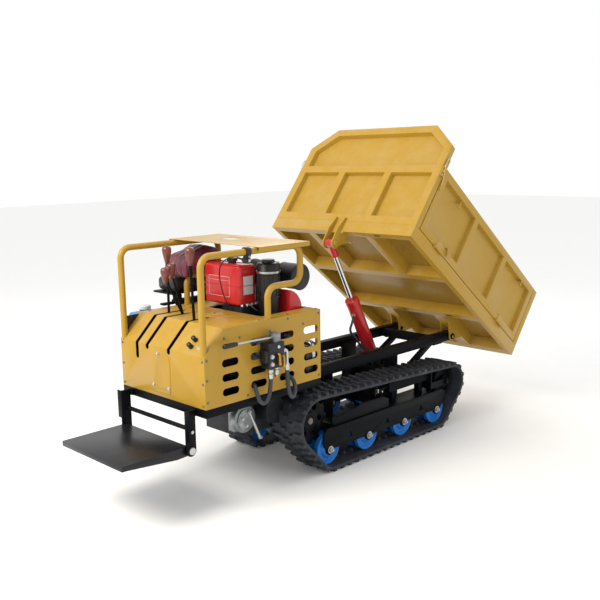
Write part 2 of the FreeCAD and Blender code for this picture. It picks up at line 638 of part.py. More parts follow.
beam_top = sill_top - floor_t
members = [block(bed_front, bed_front + 50, -inner_half, inner_half, bed_under, sill_top),
           block(bed_back - 70, bed_back, -inner_half, inner_half, bed_under, sill_top),
           block(-790, -730, -inner_half, inner_half, bed_under, beam_top),
           block(-260, -200, -inner_half, inner_half, bed_under, beam_top)]
hinge_x = (-1000.0, -40.0)
axis_out = 12.0
axis_y = bed_half + axis_out
axis_z = sill_top + 3.0
for s in (-1, 1):
    members.append(side_block(s, bed_front, bed_back, inner_half, bed_half, bed_under, sill_top))
    members.append(side_block(s, bed_front + 50, -790, 220, 280, bed_under, beam_top))
    members.append(side_block(s, -200, bed_back - 70, 185, 275, bed_under, beam_top))
    for x in hinge_x:
        for x0 in (x - 57, x + 32):
            members.append(rod_x(x0, x0 + 25, s * axis_y, axis_z, 8))
            members.append(side_block(s, x0, x0 + 25, bed_half, axis_y, axis_z - 8, axis_z - 3))
        members.append(rod_x(x - 33, x + 33, s * axis_y, axis_z, 4.7))
    members.append(side_block(s, -1287, -1160, 0, 60, bed_under - 10, bed_under))
    for y0 in (rail_in - gap - lug_t, rail_out + gap):
        low, high = sorted((s * y0, s * (y0 + lug_t)))
        lug_plate = plate_xz([(-110, bed_under), (110, bed_under), (30, -12), (-30, -12)], low, high)
        lug_plate = fuse([lug_plate, rod_y(low, high, 0, 0, 32)])
        members.append(lug_plate.cut(rod_y(low - 5, high + 5, 0, 0, pivot_pin_r + fit_gap)))

# The lifting ears under the headboard, with the pin ends shown as bolt heads.
clevis_dx, clevis_dz = clevis_rest[0] - pivot_x, clevis_rest[1] - pivot_z
tilt = math.radians(tilt_deg)
clevis_x = clevis_dx * math.cos(tilt) - clevis_dz * math.sin(tilt)
clevis_z = clevis_dx * math.sin(tilt) + clevis_dz * math.cos(tilt)
ear_in = 34.0
ear_t = 8.0
lift_ears = []
for s in (-1, 1):
    low, high = sorted((s * ear_in, s * (ear_in + ear_t)))
    lift_ears.append(plate_xz([(bed_front, sill_top + 22), (bed_front - 16, sill_top + 22),
                               (bed_front - 40, bed_under), (clevis_x - 34, clevis_z), (clevis_x, clevis_z - 34),
                               (clevis_x + 34, clevis_z), (-1175, bed_under - 10), (-1175, bed_under),
                               (bed_front, bed_under)], low, high))
    lift_ears.append(rod_y(low, high, clevis_x, clevis_z, 36))
    lift_ears.append(side_rod(s, ear_in + ear_t, ear_in + ear_t + 9, clevis_x, clevis_z, 19))
emit("bed_underframe", tipped(fuse(members + lift_ears)))

# Headboard: pressed sheet behind a welded frame, its top corners cut off.
board_z1 = bed_under + headboard_h
chamfer_w, chamfer_h = 185.0, 162.0
board_outline = [(-bed_half, sill_top), (bed_half, sill_top), (bed_half, board_z1 - chamfer_h),
                 (bed_half - chamfer_w, board_z1), (-bed_half + chamfer_w, board_z1),
                 (-bed_half, board_z1 - chamfer_h)]
frame_w = 56.0
board_depth = 46.0
board = plate_yz(board_outline, bed_front, bed_front + board_depth)
mid_bar0 = bed_under + 0.56 * headboard_h
mid_bar1 = mid_bar0 + frame_w
slant = frame_w * 0.42
upper_bay = [(-bed_half + frame_w, mid_bar1), (bed_half - frame_w, mid_bar1),
             (bed_half - frame_w, board_z1 - chamfer_h - slant), (bed_half - chamfer_w - slant, board_z1 - frame_w),
             (-bed_half + chamfer_w + slant, board_z1 - frame_w), (-bed_half + frame_w, board_z1 - chamfer_h - slant)]
bays = [plate_yz(upper_bay, bed_front - 5, bed_front + board_depth - 4)]
bay_edges = (-bed_half + frame_w, -226.0, -170.0, 170.0, 226.0, bed_half - frame_w)
for i in range(0, 6, 2):
    bays.append(block(bed_front - 5, bed_front + board_depth - 4, bay_edges[i], bay_edges[i + 1],
                      sill_top + frame_w, mid_bar0))
emit("headboard", tipped(cut(board, bays)))

# Side gates: sheet inside, framing and two stiffeners outside.
gate_x0, gate_x1 = bed_front + board_depth + 7.0, bed_back - 57.0
gate_z0, gate_z1 = sill_top + 6.0, bed_under + side_h
gate_frame = 50.0


def side_gate(side):
    panel = side_block(side, gate_x0, gate_x1, bed_half - gate_t, bed_half, gate_z0, gate_z1)
    span = (gate_x1 - gate_x0 - 4 * gate_frame) / 3.0
    tools = []
    for i in range(3):
        x0 = gate_x0 + gate_frame + i * (span + gate_frame)
        tools.append(side_block(side, x0, x0 + span, bed_half - gate_t + 4, bed_half + 5,
                                gate_z0 + gate_frame, gate_z1 - gate_frame))
    panel = cut(panel, tools)
    for x in hinge_x:
        knuckle = rod_x(x - 30, x + 30, side * axis_y, axis_z, 8)
        leaf = side_block(side, x - 30, x + 30, bed_half, axis_y, axis_z + 3, axis_z + 8)
        strap = side_block(side, x - 30, x + 30, bed_half, bed_half + 3, axis_z + 3, axis_z + 60)
        knuckle = knuckle.fuse([leaf, strap]).cut(rod_x(x - 40, x + 40, side * axis_y, axis_z, 5.0))
        panel = panel.fuse(knuckle)
    return panel.removeSplitter()


emit("side_gate_right", tipped(side_gate(-1)))
emit("side_gate_left", tipped(side_gate(1)))

# Rear corner posts carrying the tail leaves' hinges.
post = 50.0
tail_axis_x = bed_back + 19.0
tail_axis_y = bed_half - 28.5
tail_hinges = (205.0, 505.0)
posts = []
for s in (-1, 1):
    parts = [side_block(s, bed_back - post, bed_back, bed_half - post, bed_half, sill_top, gate_z1)]
    for z in tail_hinges:
        for z0 in (z - 26, z + 51):
            parts.append(rod_z(z0, z0 + 25, tail_axis_x, s * tail_axis_y, 13))
            parts.append(side_block(s, bed_back, tail_axis_x, tail_axis_y - 7, tail_axis_y + 7, z0, z0 + 25))
        parts.append(rod_z(z - 5, z + 55, tail_axis_x, s * tail_axis_y, 6))
    posts.append(fuse(parts))
emit("rear_posts", tipped(Part.makeCompound(posts)))


def tail_leaf(side):
    panel = side_block(side, bed_back - gate_t, bed_back, gap, bed_half - post - gap, gate_z0, gate_z1)
    tool = side_block(side, bed_back - gate_t + 4, bed_back + 5, gap + gate_frame, bed_half - post - gap - gate_frame,
                      gate_z0 + gate_frame, gate_z1 - gate_frame)
    panel = panel.cut(tool)
    parts = [panel]
    for z in tail_hinges:
        parts.append(side_block(side, bed_back + 5, bed_back + 13, 495, tail_axis_y, z + 2, z + 48))
        parts.append(side_block(side, bed_back, bed_back + 13, 495, 540, z + 2, z + 48))
        parts.append(rod_z(z + 2, z + 48, tail_axis_x, side * tail_axis_y, 13))
    leaf = fuse(parts)
    bores = [rod_z(z - 4, z + 54, tail_axis_x, side * tail_axis_y, 6.5) for z in tail_hinges]
    return leaf.cut(Part.makeCompound(bores))


emit("tail_leaf_right", tipped(tail_leaf(-1)))
emit("tail_leaf_left", tipped(tail_leaf(1)))

latches = []
for s in (-1, 1):
    latches.append(fuse([side_block(s, bed_front + 6, bed_front + 42, bed_half, bed_half + 6, 520, 590),
                         side_rod(s, bed_half + 6, bed_half + 20, bed_front + 24, 556, 9),
                         side_block(s, bed_front + 18, bed_front + 30, bed_half + 8, bed_half + 18, 556, 640)]))
emit("gate_latches", tipped(Part.makeCompound(latches)))

# Lift ram, drawn along its own axis from the base pin and then raised.
ram_dx, ram_dz = clevis_rest[0] - ram_base_x, clevis_rest[1] - ram_base_z
ram_rest = math.hypot(ram_dx, ram_dz)
rod_inside = 150.0
bore_r = barrel_r - 6.0


def raised(shape):
    placed = shape.copy()
    placed.rotate(V(0, 0, 0), V(0, 1, 0), -math.degrees(math.atan2(ram_dz, ram_dx)))
    placed.translate(V(ram_base_x, 0, ram_base_z))
    return placed


tube_start = 45.0
barrel = fuse([rod_x(tube_start, barrel_l, 0, 0, barrel_r), rod_x(barrel_l - 32, barrel_l, 0, 0, barrel_r + 3),
               block(18, tube_start + 5, -22, 22, -22, 22), rod_y(-28, 28, 0, 0, 28)])
barrel = barrel.cut(Part.makeCompound([rod_x(tube_start + 20, barrel_l - 40, 0, 0, bore_r),
                                       rod_x(barrel_l - 60, barrel_l + 5, 0, 0, rod_r + fit_gap),
                                       rod_y(-40, 40, 0, 0, 12.5 + fit_gap)]))
port = rod_z(barrel_r - 6, barrel_r + 20, 120, 0, 13)
emit("ram_barrel", raised(fuse([barrel, port])))
rod = fuse([rod_x(ram_rest - 606, ram_rest - 24, 0, 0, rod_r), rod_y(-28, 28, ram_rest, 0, 28),
            rod_x(ram_rest - 606, ram_rest - 576, 0, 0, bore_r - 2)])
rod = rod.cut(rod_y(-40, 40, ram_rest, 0, 12.5))
emit("ram_rod", raised(rod))

# Step for the operator on two hanging arms.
hinge_sx, hinge_sz = -45.0, 372.0
step_half = 289.0
arm_in, arm_out = step_half + gap, step_half + gap + 12.0
arm_parts = []
for s in (-1, 1):
    arm_parts.append(side_block(s, hinge_sx - 32, hinge_sx + 32, arm_in, arm_out, hinge_sz, base_z0 + 40))
    arm_parts.append(side_rod(s, arm_in, arm_out, hinge_sx, hinge_sz, 32))
    arm_parts.append(side_block(s, hinge_sx - 32, hinge_sx - 24, arm_in, arm_out + 28, hinge_sz + 60, base_z0 + 40))
    arm_parts.append(side_block(s, hinge_sx + 32, 0, arm_in - 20, arm_out, base_z0 + 4, base_z0 + 40))
    arm_parts.append(side_rod(s, step_half - 18, arm_out + 10, hinge_sx, hinge_sz, 9))
    arm_parts.append(side_rod(s, arm_out + 1, arm_out + 10, hinge_sx, hinge_sz, 20))
    arm_parts.append(side_rod(s, arm_out, arm_out + 9, hinge_sx, 480, 12))
arm_parts.append(rod_y(-arm_in, arm_in, -30, 484, 12.5))
emit("step_arms", fuse(arm_parts))
tread = block(-477, -56, -step_half, step_half, 394, 398)
cheeks = []
for s in (-1, 1):
    low, high = sorted((s * (step_half - 12), s * step_half))
    cheek = plate_xz([(-477, 394), (-477, 372), (-130, 340), (-30, 345), (-22, 372), (-40, 394)], low, high)
    cheeks.append(cheek.cut(rod_y(low - 5, high + 5, hinge_sx, hinge_sz, 9 + fit_gap)))
step_edge = [block(-477, -465, -step_half, step_half, 370, 394), block(-260, -248, -step_half, step_half, 358, 394)]
emit("step_platform", fuse([tread] + cheeks + step_edge))
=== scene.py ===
import math

import bpy
import bmesh
from mathutils import Matrix, Vector


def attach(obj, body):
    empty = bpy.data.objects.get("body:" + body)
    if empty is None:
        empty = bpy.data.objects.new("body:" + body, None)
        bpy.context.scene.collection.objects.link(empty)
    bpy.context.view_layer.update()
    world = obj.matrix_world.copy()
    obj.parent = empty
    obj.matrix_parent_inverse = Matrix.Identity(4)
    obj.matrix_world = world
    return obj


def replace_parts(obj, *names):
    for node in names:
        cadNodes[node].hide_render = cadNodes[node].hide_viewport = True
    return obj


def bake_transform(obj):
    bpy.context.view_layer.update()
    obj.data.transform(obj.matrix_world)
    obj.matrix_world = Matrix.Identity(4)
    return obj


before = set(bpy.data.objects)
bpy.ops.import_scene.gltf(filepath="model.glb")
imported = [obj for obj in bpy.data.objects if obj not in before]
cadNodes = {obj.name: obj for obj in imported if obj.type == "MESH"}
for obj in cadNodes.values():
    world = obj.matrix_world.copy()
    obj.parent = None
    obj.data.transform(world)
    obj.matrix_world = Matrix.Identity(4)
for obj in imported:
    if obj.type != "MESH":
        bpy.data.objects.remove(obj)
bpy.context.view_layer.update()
print("frame loaded:", len(cadNodes), "nodes")


# Colour and node helpers

def hexColour(code):
    # sRGB hex to linear values with full alpha.
    channels = [int(code[i:i + 2], 16) / 255.0 for i in (1, 3, 5)]
    linear = [c / 12.92 if c <= 0.04045 else ((c + 0.055) / 1.055) ** 2.4 for c in channels]
    return (linear[0], linear[1], linear[2], 1.0)


def addNode(tree, kind, settings=None, links=None):
    node = tree.nodes.new(kind)
    for key, value in (settings or {}).items():
        if key == "stops":
            ramp = node.color_ramp
            ramp.elements[0].position, ramp.elements[0].color = value[0]
            ramp.elements[1].position, ramp.elements[1].color = value[-1]
            for place, colour in value[1:-1]:
                ramp.elements.new(place).color = colour
        elif isinstance(key, int) or key in node.inputs:
            node.inputs[key].default_value = value
        else:
            setattr(node, key, value)
    for key, source in (links or {}).items():
        tree.links.new(source, node.inputs[key])
    return node


def startMaterial(name):
    material = bpy.data.materials.new(name)
    material.use_nodes = True
    tree = material.node_tree
    tree.nodes.clear()
    place = addNode(tree, "ShaderNodeTexCoord")
    return material, tree, place.outputs["Object"]


def finishMaterial(tree, settings, links):
    shader = addNode(tree, "ShaderNodeBsdfPrincipled", settings, links)
    addNode(tree, "ShaderNodeOutputMaterial", None, {"Surface": shader.outputs["BSDF"]})


def sprayedEnamel(name, values):
    # Oven-dried enamel over sheet steel: a smooth gloss with a faint orange peel, dust lying on what
    # faces up, small chips to the primer and a tone that wanders from panel to panel.
    material, tree, place = startMaterial(name)
    panelTone = addNode(tree, "ShaderNodeTexNoise", {"Scale": 1.0 / values["toneSize"], "Detail": 3.0,
                                                     "Roughness": 0.55}, {"Vector": place})
    baseMix = addNode(tree, "ShaderNodeMix", {"data_type": "RGBA", 6: hexColour(values["main"]),
                                              7: hexColour(values["faded"])}, {0: panelTone.outputs["Fac"]})
    dustNoise = addNode(tree, "ShaderNodeTexNoise", {"Scale": 1.0 / values["dustSize"], "Detail": 8.0,
                                                     "Roughness": 0.72}, {"Vector": place})
    dustMask = addNode(tree, "ShaderNodeValToRGB", {"stops": [(0.42, (0, 0, 0, 1)), (0.78, (1, 1, 1, 1))]},
                       {"Fac": dustNoise.outputs["Fac"]})
    facing = addNode(tree, "ShaderNodeNewGeometry")
    upward = addNode(tree, "ShaderNodeSeparateXYZ", None, {"Vector": facing.outputs["Normal"]})
    upAmount = addNode(tree, "ShaderNodeMapRange",
                       {"From Min": -0.2, "From Max": 1.0, "To Min": values["dustLow"],
                        "To Max": values["dustHigh"]}, {"Value": upward.outputs["Z"]})
    dustAmount = addNode(tree, "ShaderNodeMath", {"operation": "MULTIPLY"}, {0: dustMask.outputs["Color"],
                                                                            1: upAmount.outputs["Result"]})
    dusty = addNode(tree, "ShaderNodeMix", {"data_type": "RGBA", 7: hexColour(values["dust"])},
                    {0: dustAmount.outputs["Value"], 6: baseMix.outputs[2]})
    chipNoise = addNode(tree, "ShaderNodeTexNoise", {"Scale": 1.0 / values["chipSize"], "Detail": 4.0,
                                                     "Roughness": 0.65}, {"Vector": place})
    chipMask = addNode(tree, "ShaderNodeValToRGB",
                       {"stops": [(values["chipFrom"], (0, 0, 0, 1)),
                                  (values["chipFrom"] + 0.015, (1, 1, 1, 1))]},
                       {"Fac": chipNoise.outputs["Fac"]})
    chipped = addNode(tree, "ShaderNodeMix", {"data_type": "RGBA", 7: hexColour(values["primer"])},
                      {0: chipMask.outputs["Color"], 6: dusty.outputs[2]})
    gloss = addNode(tree, "ShaderNodeMapRange",
                    {"From Min": 0.0, "From Max": 1.0, "To Min": values["roughness"],
                     "To Max": values["roughness"] + 0.3},
                    {"Value": dustAmount.outputs["Value"]})
    peel = addNode(tree, "ShaderNodeTexNoise", {"Scale": 1.0 / values["peelSize"], "Detail": 2.0},
                   {"Vector": place})
    wave = addNode(tree, "ShaderNodeTexNoise", {"Scale": 1.0 / 0.09, "Detail": 1.0}, {"Vector": place})
    ripple = addNode(tree, "ShaderNodeBump", {"Strength": 0.25, "Distance": values["sheetWave"]},
                     {"Height": wave.outputs["Fac"]})
    skin = addNode(tree, "ShaderNodeBump", {"Strength": values["peelDepth"], "Distance": 0.0003},
                   {"Height": peel.outputs["Fac"], "Normal": ripple.outputs["Normal"]})
    finishMaterial(tree, {"Coat Weight": values["coat"], "Coat Roughness": 0.12, "IOR": 1.5,
                          "Specular IOR Level": values["shine"]},
                   {"Base Color": chipped.outputs[2], "Roughness": gloss.outputs["Result"],
                    "Normal": skin.outputs["Normal"]})
    return material


enamelShared = {"toneSize": 0.9, "dustSize": 0.11, "dustLow": 0.02, "dustHigh": 0.26, "dust": "#CDBE9C",
                "chipSize": 0.012, "chipFrom": 0.735, "primer": "#5A5148", "roughness": 0.34,
                "peelSize": 0.0022, "peelDepth": 0.16, "sheetWave": 0.0011, "coat": 0.1, "shine": 0.28}
yellowEnamel = sprayedEnamel("yellowEnamel", {**enamelShared, "main": "#A78122", "faded": "#B08B2C"})
bedEnamel = sprayedEnamel("bedEnamel",
                          {**enamelShared, "main": "#AB8526", "faded": "#B38E31", "sheetWave": 0.0016})
floorEnamel = sprayedEnamel("floorEnamel",
                            {**enamelShared, "main": "#977224", "faded": "#A58035", "chipFrom": 0.64,
                             "chipSize": 0.02, "dustHigh": 0.5})
blackEnamel = sprayedEnamel("blackEnamel",
                            {**enamelShared, "main": "#030509", "faded": "#070A10", "dust": "#3B3934",
                             "dustHigh": 0.1, "primer": "#3A3531", "roughness": 0.44, "coat": 0.0,
                             "shine": 0.1})
blueEnamel = sprayedEnamel("blueEnamel",
                           {**enamelShared, "main": "#0F62B4", "faded": "#1A78CC", "dust": "#7E8FA3",
                            "dustHigh": 0.3, "primer": "#2B3B50"})
redEnamel = sprayedEnamel("redEnamel",
                          {**enamelShared, "main": "#B3191C", "faded": "#C4272A", "dust": "#A07868",
                           "dustHigh": 0.25, "roughness": 0.22, "coat": 0.45, "sheetWave": 0.0004})
tankBlueEnamel = sprayedEnamel("tankBlueEnamel", {**enamelShared, "main": "#3E6FA8", "faded": "#5582B5",
                                                  "dust": "#A9B0B8"})


def sandCastIron(name, values):
    # Cast iron painted as it left the sand: fine grains stand out all over and the paint lies thin and dull.
    material, tree, place = startMaterial(name)
    grains = addNode(tree, "ShaderNodeTexNoise", {"Scale": 1.0 / values["grainSize"], "Detail": 6.0,
                                                  "Roughness": 0.7}, {"Vector": place})
    stains = addNode(tree, "ShaderNodeTexNoise", {"Scale": 1.0 / values["stainSize"], "Detail": 5.0},
                     {"Vector": place})
    colour = addNode(tree, "ShaderNodeValToRGB",
                     {"stops": [(0.3, hexColour(values["dark"])), (0.55, hexColour(values["main"])),
                                (0.8, hexColour(values["worn"]))]}, {"Fac": stains.outputs["Fac"]})
    bump = addNode(tree, "ShaderNodeBump", {"Strength": 0.5, "Distance": 0.0006},
                   {"Height": grains.outputs["Fac"]})
    finishMaterial(tree, {"Roughness": values["roughness"], "Metallic": values["metallic"]},
                   {"Base Color": colour.outputs["Color"], "Normal": bump.outputs["Normal"]})
    return material


castIron = sandCastIron("castIron",
                        {"grainSize": 0.0018, "stainSize": 0.06, "dark": "#0C0E12", "main": "#151A20",
                         "worn": "#2C333B", "roughness": 0.58, "metallic": 0.1})
valveIron = sandCastIron("valveIron",
                         {"grainSize": 0.0012, "stainSize": 0.04, "dark": "#101216", "main": "#181B20",
                          "worn": "#30353B", "roughness": 0.42, "metallic": 0.2})
castAluminium = sandCastIron("castAluminium", {"grainSize": 0.0016, "stainSize": 0.05, "dark": "#6B6F70",
                                               "main": "#8E9394", "worn": "#B4B8B8", "roughness": 0.42,
                                               "metallic": 0.8})


def zincPlate(name, values):
    # Bolts and fittings dipped in zinc: bright, slightly mottled metal.
    material, tree, place = startMaterial(name)
    mottling = addNode(tree, "ShaderNodeTexNoise", {"Scale": 1.0 / values["mottleSize"], "Detail": 4.0},
                       {"Vector": place})
    colour = addNode(tree, "ShaderNodeMix", {"data_type": "RGBA", 6: hexColour(values["main"]),
                                             7: hexColour(values["dull"])}, {0: mottling.outputs["Fac"]})
    rough = addNode(tree, "ShaderNodeMapRange", {"To Min": values["roughness"] - 0.08,
                                                 "To Max": values["roughness"] + 0.12},
                    {"Value": mottling.outputs["Fac"]})
    finishMaterial(tree, {"Metallic": 1.0},
                   {"Base Color": colour.outputs[2], "Roughness": rough.outputs["Result"]})
    return material


zincSteel = zincPlate("zincSteel", {"main": "#D8DADA", "dull": "#A7AAAA", "mottleSize": 0.006,
                                    "roughness": 0.32})
hardChrome = zincPlate("hardChrome",
                       {"main": "#E6E8EA", "dull": "#DADDE0", "mottleSize": 0.02, "roughness": 0.14})
brassFitting = zincPlate("brassFitting", {"main": "#C59A4A", "dull": "#A37A36", "mottleSize": 0.005,
                                          "roughness": 0.34})
rawSteel = zincPlate("rawSteel", {"main": "#8D8B88", "dull": "#5F5A55", "mottleSize": 0.012,
                                  "roughness": 0.45})


def mouldedRubber(name, values):
    # Rubber cured in a mould: dull, near black and greyed by dust in patches.
    material, tree, place = startMaterial(name)
    dustNoise = addNode(tree, "ShaderNodeTexNoise", {"Scale": 1.0 / values["dustSize"], "Detail": 7.0,
                                                     "Roughness": 0.68}, {"Vector": place})
    colour = addNode(tree, "ShaderNodeValToRGB",
                     {"stops": [(0.34, hexColour(values["main"])), (0.58, hexColour(values["grey"])),
                                (0.86, hexColour(values["dust"]))]}, {"Fac": dustNoise.outputs["Fac"]})
    grain = addNode(tree, "ShaderNodeTexNoise", {"Scale": 1.0 / values["grainSize"], "Detail": 4.0},
                    {"Vector": place})
    bump = addNode(tree, "ShaderNodeBump", {"Strength": values["grainDepth"], "Distance": 0.0006},
                   {"Height": grain.outputs["Fac"]})
    finishMaterial(tree, {"Roughness": values["roughness"], "IOR": 1.52},
                   {"Base Color": colour.outputs["Color"], "Normal": bump.outputs["Normal"]})
    return material


trackRubber = mouldedRubber("trackRubber", {"main": "#1A1C22", "grey": "#2B2E36", "dust": "#52545B",
                                            "dustSize": 0.16, "grainSize": 0.003, "grainDepth": 0.5,
                                            "roughness": 0.72})
hoseRubber = mouldedRubber("hoseRubber",
                           {"main": "#23282B", "grey": "#2E3538", "dust": "#41484B", "dustSize": 0.08,
                            "grainSize": 0.0016, "grainDepth": 0.35, "roughness": 0.5})
mouldedPlastic = mouldedRubber("mouldedPlastic", {"main": "#08080A", "grey": "#0E0E10", "dust": "#1E1E1F",
                                                  "dustSize": 0.05, "grainSize": 0.0012, "grainDepth": 0.25,
                                                  "roughness": 0.38})
heatBlack = mouldedRubber("heatBlack",
                          {"main": "#0A0909", "grey": "#121110", "dust": "#2B2621", "dustSize": 0.06,
                           "grainSize": 0.0014, "grainDepth": 0.3, "roughness": 0.5})


def turnedWood(name, values):
    # Stained and varnished hardwood off the lathe: long streaks along the handle under a clear gloss.
    material, tree, place = startMaterial(name)
    stretched = addNode(tree, "ShaderNodeMapping", {"Scale": (1.0, 1.0, 0.12)}, {"Vector": place})
    streaks = addNode(tree, "ShaderNodeTexNoise", {"Scale": 1.0 / values["grainWidth"], "Detail": 6.0,
                                                   "Distortion": 0.6},
                      {"Vector": stretched.outputs["Vector"]})
    colour = addNode(tree, "ShaderNodeValToRGB",
                     {"stops": [(0.28, hexColour(values["dark"])), (0.55, hexColour(values["main"])),
                                (0.8, hexColour(values["light"]))]}, {"Fac": streaks.outputs["Fac"]})
    bump = addNode(tree, "ShaderNodeBump", {"Strength": 0.15, "Distance": 0.0004},
                   {"Height": streaks.outputs["Fac"]})
    finishMaterial(tree, {"Roughness": 0.35, "Coat Weight": 0.5, "Coat Roughness": 0.15},
                   {"Base Color": colour.outputs["Color"], "Normal": bump.outputs["Normal"]})
    return material


stainedBeech = turnedWood("stainedBeech", {"grainWidth": 0.004, "dark": "#46170F", "main": "#6C2C1D",
                                           "light": "#88402C"})


def embossedVinyl(name, values):
    # Soft vinyl over foam: a leather grain rolled into it, creases catch a dull shine.
    material, tree, place = startMaterial(name)
    cells = addNode(tree, "ShaderNodeTexVoronoi", {"Scale": 1.0 / values["grainSize"]}, {"Vector": place})
    folds = addNode(tree, "ShaderNodeTexNoise", {"Scale": 1.0 / values["foldSize"], "Detail": 3.0,
                                                 "Distortion": 1.2}, {"Vector": place})
    colour = addNode(tree, "ShaderNodeMix", {"data_type": "RGBA", 6: hexColour(values["main"]),
                                             7: hexColour(values["light"])}, {0: folds.outputs["Fac"]})
    creases = addNode(tree, "ShaderNodeBump", {"Strength": 0.35, "Distance": 0.004},
                      {"Height": folds.outputs["Fac"]})
    grain = addNode(tree, "ShaderNodeBump", {"Strength": 0.45, "Distance": 0.0005},
                    {"Height": cells.outputs["Distance"], "Normal": creases.outputs["Normal"]})
    finishMaterial(tree, {"Roughness": 0.42, "Sheen Weight": 0.12, "Specular IOR Level": 0.5},
                   {"Base Color": colour.outputs[2], "Normal": grain.outputs["Normal"]})
    return material


blackVinyl = embossedVinyl("blackVinyl", {"main": "#0C0C0E", "light": "#17161A", "grainSize": 0.0028,
                                          "foldSize": 0.05})
burgundyVinyl = embossedVinyl("burgundyVinyl", {"main": "#4A1424", "light": "#6A2238", "grainSize": 0.0028,
                                                "foldSize": 0.05})


def printedFilm(name, values):
    # Blank label film: flat pale surface with a soft sheen.
    material, tree, place = startMaterial(name)
    smudge = addNode(tree, "ShaderNodeTexNoise", {"Scale": 40.0, "Detail": 3.0}, {"Vector": place})
    colour = addNode(tree, "ShaderNodeMix", {"data_type": "RGBA", 6: hexColour(values["main"]),
                                             7: hexColour(values["smudged"])}, {0: smudge.outputs["Fac"]})
    finishMaterial(tree, {"Roughness": 0.4}, {"Base Color": colour.outputs[2]})
    return material


labelFilm = printedFilm("labelFilm", {"main": "#D9DBDA", "smudged": "#B9BCBD"})
print("materials ready")


# Mesh helpers

def newPiece(name, mesh, material, body, smoothAngle=32.0):
    if isinstance(mesh, bmesh.types.BMesh):
        data = bpy.data.meshes.new(name)
        bmesh.ops.recalc_face_normals(mesh, faces=mesh.faces)
        mesh.to_mesh(data)
        mesh.free()
        mesh = data
    for polygon in mesh.polygons:
        polygon.use_smooth = True
    mesh.set_sharp_from_angle(angle=math.radians(smoothAngle))
    mesh.materials.clear()
    mesh.materials.append(material)
    piece = bpy.data.objects.new(name, mesh)
    bpy.context.scene.collection.objects.link(piece)
    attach(piece, body)
    return piece


def addSolid(target, source):
    # Copies one bmesh's solid into another and frees it.
    data = bpy.data.meshes.new("passing")
    source.to_mesh(data)
    source.free()
    target.from_mesh(data)
    bpy.data.meshes.remove(data)


def boxSolid(low, high, edge=0.0015, segments=2):
    solid = bmesh.new()
    bmesh.ops.create_cube(solid, size=1.0)
    low, high = Vector(low), Vector(high)
    size = high - low
    for vert in solid.verts:
        vert.co = Vector((vert.co.x * size.x, vert.co.y * size.y, vert.co.z * size.z)) + (low + high) / 2
    if edge > 0:
        bmesh.ops.bevel(solid, geom=solid.edges[:], offset=edge, segments=segments, affect="EDGES",
                        profile=0.5)
    return solid


def turnedSolid(profile, centre, axis, segments=48):
    # profile holds (distance along the axis, radius) pairs from one end to the other.
    solid = bmesh.new()
    turn = Vector((0, 0, 1)).rotation_difference(Vector(axis).normalized()).to_matrix().to_4x4()
    place = Matrix.Translation(Vector(centre)) @ turn
    rings = []
    for along, radius in profile:
        if radius < 1e-6:
            rings.append([solid.verts.new(place @ Vector((0, 0, along)))])
            continue
        ring = []
        for i in range(segments):
            angle = 2 * math.pi * i / segments
            ring.append(solid.verts.new(place @ Vector((radius * math.cos(angle), radius * math.sin(angle),
                                                        along))))
        rings.append(ring)
    for lower, upper in zip(rings, rings[1:]):
        for i in range(segments):
            j = (i + 1) % segments
            if len(lower) == 1 and len(upper) > 1:
                solid.faces.new((lower[0], upper[i], upper[j]))
            elif len(upper) == 1 and len(lower) > 1:
                solid.faces.new((lower[i], lower[j], upper[0]))
            elif len(lower) > 1:
                solid.faces.new((lower[i], lower[j], upper[j], upper[i]))
    for ring in (rings[0], rings[-1]):
        if len(ring) > 1:
            solid.faces.new(ring)
    bmesh.ops.recalc_face_normals(solid, faces=solid.faces)
    return solid


def roundedPath(points, bend, steps=8):
    # Straight runs with the corners turned into arcs.
    points = [Vector(p) for p in points]
    path = [points[0]]
    for i in range(1, len(points) - 1):
        here = points[i]
        before = (points[i - 1] - here).normalized()
        after = (points[i + 1] - here).normalized()
        half = before.angle(after) / 2
        reach = bend / math.tan(half)
        start = here + before * reach
        middle = here + (before + after).normalized() * (bend / math.sin(half))
        end = here + after * reach
        spokeA, spokeB = (start - middle).normalized(), (end - middle).normalized()
        for k in range(steps + 1):
            path.append(middle + spokeA.slerp(spokeB, k / steps) * bend)
    path.append(points[-1])
    return path


def curvedPath(points, steps=10):
    # Smooth curve through the given points.
    points = [Vector(p) for p in points]
    padded = [points[0] * 2 - points[1]] + points + [points[-1] * 2 - points[-2]]
    path = []
    for i in range(1, len(padded) - 2):
        a, b, c, d = padded[i - 1:i + 3]
        for k in range(steps):
            t = k / steps
            path.append(0.5 * ((2 * b) + (c - a) * t + (2 * a - 5 * b + 4 * c - d) * t * t
                               + (3 * b - a - 3 * c + d) * t ** 3))
    path.append(points[-1])
    return path


def tubeSolid(path, radius, segments=20, radii=None):
    solid = bmesh.new()
    rings = []
    heading = (path[1] - path[0]).normalized()
    side = heading.orthogonal().normalized()
    for i, point in enumerate(path):
        ahead = path[min(i + 1, len(path) - 1)] - path[max(i - 1, 0)]
        newHeading = ahead.normalized()
        side = heading.rotation_difference(newHeading) @ side
        heading = newHeading
        other = heading.cross(side)
        r = radii[i] if radii else radius
        rings.append([solid.verts.new(point + (side * math.cos(a) + other * math.sin(a)) * r)
                      for a in [2 * math.pi * k / segments for k in range(segments)]])
    for lower, upper in zip(rings, rings[1:]):
        for k in range(segments):
            j = (k + 1) % segments
            solid.faces.new((lower[k], lower[j], upper[j], upper[k]))
    solid.faces.new(rings[0][::-1])
    solid.faces.new(rings[-1])
    bmesh.ops.recalc_face_normals(solid, faces=solid.faces)
    return solid


